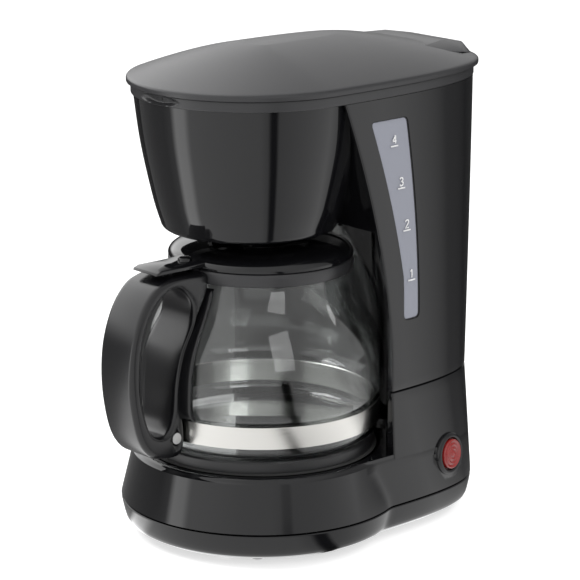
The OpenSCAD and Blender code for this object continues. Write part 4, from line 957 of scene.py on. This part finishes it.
class LidShell(PieceOperator, Operator):
    """Lid with its crown, raised flat and hinge knuckles"""

    bl_idname = "maker.lid_shell"
    bl_label = "Lid"

    def build(self, context):
        edge = settings()[0].lid_edge_round / MM
        rings = [at_height(lid_outline(inset, CROWN_POINTS), z)
                 for inset, z in ((0.6, LID_Z), (0.15, LID_Z + 0.15), (0.0, LID_Z + 0.6),
                                  (0.0, LID_EDGE_Z - edge))]
        for a in (30, 60, 90):
            turn = math.radians(a)
            ring = crown_ring(edge * (1 - math.cos(turn)))
            rings.append([(x, y, z - edge * (1 - math.sin(turn))) for x, y, z in ring])
        rings += [crown_ring(mix(edge, 54.9, i / 44)) for i in range(1, 45)]
        crown = solid("crown", add_loft, rings)
        under = solid("cutter", add_loft, [at_height(lid_outline(2.0, CROWN_POINTS), LID_Z - 5)]
                      + [crown_ring(mix(0.5, 54.0, i / 14), 2.0) for i in range(15)])
        y, z = HINGE
        slot = KNUCKLE_W + 0.3
        cutters = [under]
        for low, high in (((-slot, y - 4.2, 200), (slot, 300, 300)),
                          ((-100, y - 6.2, 200), (100, 300, z - KNUCKLE_R)),
                          ((-100, y + 3.7, 200), (100, 300, 300))):
            cutters.append(solid("cutter", add_box, low, high))
        carve(crown, cutters)
        mesh = bmesh.new()
        for spot in ((-32, 78.5, 252.0), (32, 78.5, 252.0), (-22, 109, 252.6), (22, 109, 252.6),
                     (-37, 110, 247.8), (37, 110, 247.8), (-32, 78.5, 246.5), (32, 78.5, 246.5),
                     (-32, 120.8, 245.8), (32, 120.8, 245.8)):
            mesh.verts.new(machine(*spot))
        for i in range(24):
            a = math.tau * i / 24
            for side in (-HUMP_HALF_W, HUMP_HALF_W):
                mesh.verts.new(machine(side, y + KNUCKLE_R * math.cos(a),
                                       z + KNUCKLE_R * math.sin(a)))
        bmesh.ops.convex_hull(mesh, input=mesh.verts)
        outward(mesh)
        raised = to_object("raised_flat", mesh)
        hollow = [(70, 249.4), (108, 249.9), (117, 247.6), (117, 240), (70, 240)]
        carve(raised, [solid("cutter", add_box, (-slot, y - 4.2, 200), (slot, 300, 300)),
                       solid("cutter", add_side_plate, hollow, 29)])
        edge_modifier(raised, 0.8, 4, 12)
        flatten(raised)
        dress(join("lid_crown", [crown, raised]), "satin_black", "top_lid",
              ["lid"])


class WarmingPlate(PieceOperator, Operator):
    """Warming plate with its pressed rings"""

    bl_idname = "maker.warming_plate"
    bl_label = "Warming plate"

    def build(self, context):
        mesh = bmesh.new()
        add_turned(mesh, [(0, 53.3), (44, 53.3), (46, 53.5), (57.5, 53.5), (59, 53.1),
                          (59.8, 52.2), (60, 51), (60, 47.3), (58.4, 47.3), (58.4, 50.9),
                          (57.4, 51.9), (0, 51.9)])
        outward(mesh)
        for s in (-1, 1):
            add_rod(mesh, (s * 47, -10, 34.2), (s * 47, -10, 52), 2, 24)
        dress(to_object("plate_disc", mesh), "plate_coating", "housing",
              ["warming_plate"])


def glass_radius(z):
    if z < 60.3:
        return 55.9 + math.sqrt(max(0.0, 6.5 ** 2 - (60.3 - z) ** 2))
    if z < 73:
        return 62.4
    if z < BELLY_Z:
        return 62.4 + 3.1 * math.sin(math.pi / 2 * (z - 73) / (BELLY_Z - 73))
    if z < NECK_Z:
        t = (z - BELLY_Z) / (NECK_Z - BELLY_Z)
        return 44.5 + 21 * (1 + math.cos(math.pi * t ** 1.6)) / 2
    return 44.5


class CarafeGlass(PieceOperator, Operator):
    """Blown glass of the carafe"""

    bl_idname = "maker.carafe_glass"
    bl_label = "Carafe glass"

    def build(self, context):
        wall = settings()[1].glass_wall / MM
        outer = [(0, GLASS_Z + 0.8), (30, GLASS_Z + 0.7), (48, GLASS_Z + 0.2)]
        outer += arc_points(55.9, 60.3, 6.5, -90, 0, 12)
        levels = [60.3 + (73 - 60.3) * i / 4 for i in range(1, 5)]
        levels += [mix(73, BELLY_Z, i / 8) for i in range(1, 9)]
        levels += [mix(BELLY_Z, NECK_Z, i / 44) for i in range(1, 45)]
        outer += [(glass_radius(z), z) for z in levels]
        inner = [(max(r - wall, 0), z) for r, z in outer[15:]]
        floor = arc_points(55.9, 60.3, 6.5 - wall, 0, -90, 8)
        profile = outer + [(44.5, LIP_Z - 0.7), (44.2, LIP_Z - 0.2), (43.6, LIP_Z),
                           (43.0, LIP_Z - 0.2), (44.5 - wall, LIP_Z - 0.7)]
        profile += inner[::-1] + floor + [(48, GLASS_Z + wall), (30, GLASS_Z + wall + 0.5),
                                          (0, GLASS_Z + wall + 0.6)]
        dress(solid("glass_jug", add_turned, profile, steps=TURN_STEPS), "carafe_glass", "carafe",
              ["carafe_glass"], math.radians(60))


class CarafeTrim(PieceOperator, Operator):
    """Steel band and plastic collar of the carafe"""

    bl_idname = "maker.carafe_trim"
    bl_label = "Carafe band and collar"

    def build(self, context):
        band = [(62.45, 61.2), (62.7, 61.0), (63.0, 61.1), (63.1, 61.4), (63.1, 72.3),
                (63.0, 72.6), (62.7, 72.7), (62.45, 72.5)]
        dress(solid("steel_band", add_turned, band, steps=TURN_STEPS), "brushed_band", "carafe",
              ["carafe_band"])
        collar = [(44.6, 142.1), (47.4, 142.1), (48.2, 142.5), (48.5, 143.3), (48.5, 148.2),
                  (48.2, 148.8), (47.6, 149.1), (42.6, 149.1), (42.6, 148.9), (44.6, 148.9)]
        dress(solid("neck_collar", add_turned, collar, steps=TURN_STEPS), "satin_black", "carafe",
              ["carafe_collar"])


HANDLE_OUTLINE = [(-46, 147.6), (-52, 148.6), (-62, 148.9), (-72, 148.1), (-81, 144.4),
                  (-89.5, 134), (-95.4, 118), (-97.4, 101), (-96.3, 85), (-91.8, 67.5),
                  (-84.5, 57.4), (-75, 54.6),
                  (-66, 54.5), (-63.6, 58), (-63.2, 66), (-64.3, 74), (-66.4, 82), (-66, 96),
                  (-62, 112), (-56, 124), (-50, 134), (-46.5, 141)]
HANDLE_HOLE = [(-72.8, 142.5), (-83, 133), (-89, 117.5), (-90.4, 101), (-89.5, 85.5), (-85, 71.5),
               (-78.5, 67.1), (-73, 69), (-70.1, 77.5), (-69, 93), (-65, 109.5), (-58.1, 123.5),
               (-56.9, 133.5), (-64.5, 142)]


def band_section(outer, inner, half_w, r):
    """Rounded section of the handle's band, between a point outside and one inside."""
    y0, z0 = outer
    thick = math.dist(outer, inner)
    r = min(r, 0.42 * thick)
    dy, dz = (inner[0] - y0) / thick, (inner[1] - z0) / thick
    flat = []
    for x, depth, start in ((half_w - r, r, -90), (half_w - r, thick - r, 0),
                            (r - half_w, thick - r, 90), (r - half_w, r, 180)):
        for k in range(6):
            a = math.radians(start + 18 * k)
            flat.append((x + r * math.cos(a), depth + r * math.sin(a)))
    return [(x, y0 + dy * depth, z0 + dz * depth) for x, depth in flat]


CLAMP_SCREW = (-68.7, 64.2)
RIDGE_POINTS = 120
RIDGE_OUT = 1.5          # from the finger hole's edge to the ridge round it


class CarafeHandle(PieceOperator, Operator):
    """Handle with its finger hole and the saddle round the glass"""

    bl_idname = "maker.carafe_handle"
    bl_label = "Carafe handle"

    def build(self, context):
        mesh = bmesh.new()
        count = 150
        outside = smooth_line(HANDLE_OUTLINE, 6, True)
        inside = smooth_line(HANDLE_HOLE, 8, True)
        outside = even_points(outside + outside[:1], count + 1)[:-1]
        inside = even_points(inside + inside[:1], count + 1)[:-1]
        shift = min(range(count), key=lambda k: math.dist(outside[0], inside[k]))
        pairs = [(outside[i], inside[(i + shift) % count]) for i in range(count)]
        r = settings()[1].grip_round / MM
        add_loft(mesh, [band_section(p, q, 13.5, r) for p, q in pairs], closed_chain=True)
        outward(mesh)
        loop = to_object("handle_loop", mesh)
        lug = bmesh.new()
        add_box(lug, (-7.8, -54.4, 140.1), (7.8, 0, 160))
        boss = bmesh.new()
        add_rod(boss, (11.3, *CLAMP_SCREW), (20, *CLAMP_SCREW), 3.5, 48)
        carve(loop, [to_object("cutter", lug), to_object("cutter", boss)])
        mesh = bmesh.new()
        rings = []
        for i in range(41):
            z = mix(72.8, 139.5, i / 40)
            edge = min(1.0, (z - 72.8) / 2.5 + 0.4, (139.5 - z) / 2.5 + 0.4)
            r = glass_radius(z)
            outer, inner = r + 3.3 * edge, r + 0.3
            reach = 17.5
            ring = [(outer * math.sin(math.radians(a)), -outer * math.cos(math.radians(a)), z)
                    for a in [mix(-reach, reach, k / 24) for k in range(25)]]
            ring += [(inner * math.sin(math.radians(a)), -inner * math.cos(math.radians(a)), z)
                     for a in [mix(reach, -reach, k / 24) for k in range(25)]]
            rings.append(ring)
        add_loft(mesh, rings)
        outward(mesh)
        saddle = to_object("saddle", mesh)
        edge_modifier(saddle, 0.8, 3, 40)
        flatten(saddle)
        mesh = bmesh.new()
        for side in (-1, 1):
            ring = smooth_line(HANDLE_HOLE, 6, True)
            ring = even_points(ring + ring[:1], RIDGE_POINTS + 1)[:-1]
            rings = []
            for i, (y, z) in enumerate(ring):
                before, after = ring[i - 1], ring[(i + 1) % RIDGE_POINTS]
                along = Vector((after[0] - before[0], after[1] - before[1])).normalized()
                middle = y + along.y * RIDGE_OUT, z - along.x * RIDGE_OUT
                rings.append([(side * (13.35 + 0.35 * math.cos(a)),
                               middle[0] + 0.45 * along.y * math.sin(a),
                               middle[1] - 0.45 * along.x * math.sin(a))
                              for a in (math.tau * k / 8 for k in range(8))])
            add_loft(mesh, rings, closed_chain=True)
        outward(mesh)
        ridges = to_object("ridges", mesh)
        dress(join("handle_body", [loop, saddle, ridges]), "handle_black", "carafe",
              ["carafe_handle"])


class CarafeLid(PieceOperator, Operator):
    """Lid of the carafe with its thumb plate"""

    bl_idname = "maker.carafe_lid"
    bl_label = "Carafe lid"

    def build(self, context):
        mesh = bmesh.new()
        dome = smooth_line([(48.5, 149.7), (48.4, 151.2), (47, 153.3), (43.5, 155.2),
                            (36.5, 156.5),
                            (28.5, 157.2), (21, 157.2), (18.5, 156.2)], 5)
        profile = dome + [(8, 154.4), (6, 154.2), (6, 152.6), (18, 153.3), (35, 154.5),
                          (40, 152.4), (40, 143.4), (41.8, 143.4), (41.8, 149.4), (48.2, 149.4)]
        add_turned(mesh, profile, steps=TURN_STEPS)
        outward(mesh)
        for a, b in (((-7, -0.8), (7, 0.8)), ((-0.8, -7), (0.8, 7))):
            add_box(mesh, (a[0], a[1], 152.9), (b[0], b[1], 157.1))
        dome_piece = to_object("lid_dome", mesh)
        mesh = bmesh.new()
        half_w = settings()[1].tongue_width / MM / 2
        tongue = [(-78, 150.9), (-77, 152.2), (-74, 153.2), (-60, 153.2), (-44, 153.6), (-38, 155),
                  (-38, 152), (-44, 150.6), (-60, 150.6), (-76, 150.6)]
        add_side_plate(mesh, tongue, half_w)
        outward(mesh)
        round_edges(mesh, 0.8, 3, 50)
        add_box(mesh, (-7.5, -52.1, 145.1), (7.5, -45.7, 151.5))
        add_rod(mesh, (-7.5, -48.9, 145.1), (7.5, -48.9, 145.1), 3.2, 40)
        knob = bmesh.new()
        add_turned(knob, [(0, 151), (3.6, 151), (3.6, 154.2), (3.2, 155), (2.2, 155.5),
                          (0, 155.6)],
                   (0, -51.5), 48)
        outward(knob)
        pieces = [dome_piece, to_object("tongue", mesh), to_object("knob", knob)]
        dress(join("carafe_lid_dome", pieces), "gloss_black", "carafe_cover",
              ["carafe_lid"])


CAMERA_LENS = 173.8
CAMERA_SENSOR = 36.0
CAMERA_SHIFT = (0.0505, -0.0034)
AIM_Z = 130.0


class Studio(PieceOperator, Operator):
    """Floor, world, lamps and camera"""

    bl_idname = "maker.studio"
    bl_label = "Studio"

    def build(self, context):
        studio = settings()[3]
        scene = context.scene
        mesh = bmesh.new()
        bmesh.ops.create_grid(mesh, x_segments=1, y_segments=1, size=6.0)
        floor = to_object("studio_floor", mesh)
        cards_group()
        floor.data.materials.append(floor_finish())
        build_world(scene, studio.fill)
        target = machine(0, 0, AIM_Z)
        for name, place, size, energy in (
                ("key", (-0.9, -0.9, 1.5), (0.9, 0.9), 16.0),
                ("side", (1.5, -0.5, 1.0), (0.6, 1.2), 8.0),
                ("back", (0.5, 1.4, 1.3), (0.9, 0.6), 8.0)):
            data = bpy.data.lights.new(name, "AREA")
            data.shape = "RECTANGLE"
            data.size, data.size_y = size
            data.energy = energy
            lamp = bpy.data.objects.new(name, data)
            lamp.location = place
            lamp.visible_glossy = False
            lamp.rotation_euler = (Vector(place) - target).to_track_quat("Z", "Y").to_euler()
            scene.collection.objects.link(lamp)
        data = bpy.data.cameras.new("camera")
        data.lens = CAMERA_LENS
        data.sensor_width = CAMERA_SENSOR
        data.shift_x, data.shift_y = CAMERA_SHIFT
        camera = bpy.data.objects.new("camera", data)
        a, e = studio.azimuth, studio.elevation
        away = Vector((math.sin(a) * math.cos(e), -math.cos(a) * math.cos(e), math.sin(e)))
        camera.location = target + away * studio.distance
        camera.rotation_euler = away.to_track_quat("Z", "Y").to_euler()
        scene.collection.objects.link(camera)
        scene.camera = camera
        scene.view_settings.view_transform = "Standard"


FLOOR_GLOW = 0.62

# Brightness that glossy surfaces meet round the studio: degrees round the machine, strength
LOW_CARDS = ((-180, 0.22), (-150, 0.25), (-134, 0.3), (-124, 0.5), (-118, 2.6), (-108, 2.6),
             (-102, 1.25),
             (-60, 1.1), (-32, 1.0), (-25, 0.75), (-22, 0.03), (-17, 0.03), (-14, 0.75),
             (10, 0.95), (45, 1.25), (56, 0.75), (68, 0.25), (90, 0.06), (140, 0.05))
HIGH_CARDS = ((-180, 2.9), (-120, 1.6), (-60, 1.0), (30, 0.8), (60, 0.45), (90, 0.3), (120, 0.7),
              (145, 1.4), (165, 2.5))


def cards_group():
    """Brightness of the studio's cards in a direction."""
    group, entry, exit_node = new_group("studio_cards", [("Direction", "NodeSocketVector", None)],
                                        [("Strength", "NodeSocketFloat")])
    split = add_node(group, "SeparateXYZ")
    angle = add_node(group, "Math", "ARCTAN2")
    share = add_node(group, "Math", "MULTIPLY_ADD", _1=1 / math.tau, _2=0.5)
    height = add_node(group, "MapRange", From_Min=0.02, From_Max=0.22)
    height.interpolation_type = "SMOOTHSTEP"
    blend = add_node(group, "Mix")
    blend.data_type = "FLOAT"
    wire(group, (entry, "Direction", split, 0), (split, "Y", angle, 0), (split, "X", angle, 1),
         (angle, 0, share, 0), (split, "Z", height, "Value"), (height, "Result", blend, 0),
         (blend, 0, exit_node, "Strength"))
    for number, cards in enumerate((LOW_CARDS, HIGH_CARDS)):
        ramp = add_node(group, "ValToRGB")
        stops = ramp.color_ramp.elements
        while len(stops) > 1:
            stops.remove(stops[-1])
        stops[0].position = 0.0
        for degrees, strength in cards:
            stop = stops[0] if degrees == -180 else stops.new((degrees + 180) / 360)
            stop.color = (strength, strength, strength, 1.0)
        wire(group, (share, 0, ramp, "Fac"), (ramp, "Color", blend, 2 + number))
    return group


def ray_nodes(tree, coordinate):
    """Light path, whether the camera or the glass sees it, and the cards' brightness."""
    path = add_node(tree, "LightPath")
    seen = add_node(tree, "Math", "MAXIMUM")
    where = add_node(tree, "TexCoord")
    cards = add_node(tree, "Group")
    cards.node_tree = bpy.data.node_groups["studio_cards"]
    wire(tree, (path, "Is Camera Ray", seen, 0), (path, "Is Transmission Ray", seen, 1),
         (where, coordinate, cards, "Direction"))
    return path, seen, cards


def floor_finish():
    """Pale floor that looks white from the camera and keeps the shadow."""
    material = bpy.data.materials.new("pale_floor")
    material.use_nodes = True
    tree = material.node_tree
    shader = tree.nodes["Principled BSDF"]
    for label, value in (("Base Color", (0.8, 0.8, 0.8, 1.0)), ("Roughness", 0.9),
                         ("Specular IOR Level", 0.0), ("Emission Color", (1.0, 1.0, 1.0, 1.0))):
        shader.inputs[label].default_value = value
    path, seen, cards = ray_nodes(tree, "Object")
    strength = add_node(tree, "Math", "MULTIPLY", _1=FLOOR_GLOW)
    card = add_node(tree, "Emission")
    either = add_node(tree, "MixShader")
    wire(tree, (seen, 0, strength, 0), (strength, 0, shader, "Emission Strength"),
         (cards, "Strength", card, "Strength"), (path, "Is Glossy Ray", either, "Fac"),
         (shader, "BSDF", either, 1), (card, "Emission", either, 2),
         (either, "Shader", tree.nodes["Material Output"], "Surface"))
    return material


def build_world(scene, fill):
    """White behind the machine, cards for its gloss, and a plain even light on it."""
    world = bpy.data.worlds.new("studio")
    scene.world = world
    world.use_nodes = True
    tree = world.node_tree
    backdrop = tree.nodes["Background"]
    path, seen, cards = ray_nodes(tree, "Generated")
    gloss = add_node(tree, "Mix", _2=fill)
    plain = add_node(tree, "Mix", _3=1.0)
    gloss.data_type = plain.data_type = "FLOAT"
    wire(tree, (path, "Is Glossy Ray", gloss, 0), (cards, "Strength", gloss, 3),
         (gloss, 0, plain, 2), (seen, 0, plain, 0), (plain, 0, backdrop, "Strength"))
    backdrop.inputs["Color"].default_value = (1.0, 1.0, 1.0, 1.0)


PIECE_OPERATORS = (NodeFinishes, BottomCover, RubberFeet, BaseShell, SwitchPieces, TowerShell,
                   WaterGauge, GaugeMarks, BrewHead, TopRim, LidShell, WarmingPlate,
                   CarafeGlass, CarafeTrim, CarafeHandle, CarafeLid, Studio)
SETTING_GROUPS = (HousingSizes, CarafeSizes, FinishColours, StudioSettings)


class MakerPanel(Panel):
    """Lists the settings and the pieces"""

    bl_idname = "VIEW3D_PT_coffee_maker"
    bl_label = "Coffee maker"
    bl_space_type = "VIEW_3D"
    bl_region_type = "UI"
    bl_category = "Coffee maker"

    def draw(self, context):
        for group in settings():
            box = self.layout.box()
            for name in group.bl_rna.properties.keys():
                if name not in {"rna_type", "name"}:
                    box.prop(group, name)
        column = self.layout.column(align=True)
        for operator in PIECE_OPERATORS:
            column.operator(operator.bl_idname)


CLASSES = SETTING_GROUPS + PIECE_OPERATORS + (MakerPanel,)


def register():
    for item in CLASSES:
        bpy.utils.register_class(item)
    bpy.types.Scene.maker_housing = PointerProperty(type=HousingSizes)
    bpy.types.Scene.maker_carafe = PointerProperty(type=CarafeSizes)
    bpy.types.Scene.maker_colours = PointerProperty(type=FinishColours)
    bpy.types.Scene.maker_studio = PointerProperty(type=StudioSettings)


def unregister():
    for name in ("maker_housing", "maker_carafe", "maker_colours", "maker_studio"):
        delattr(bpy.types.Scene, name)
    for item in reversed(CLASSES):
        bpy.utils.unregister_class(item)


def main():
    register()
    for operator in PIECE_OPERATORS:
        group, name = operator.bl_idname.split(".")
        getattr(getattr(bpy.ops, group), name)()


if __name__ == "__main__":
    main()
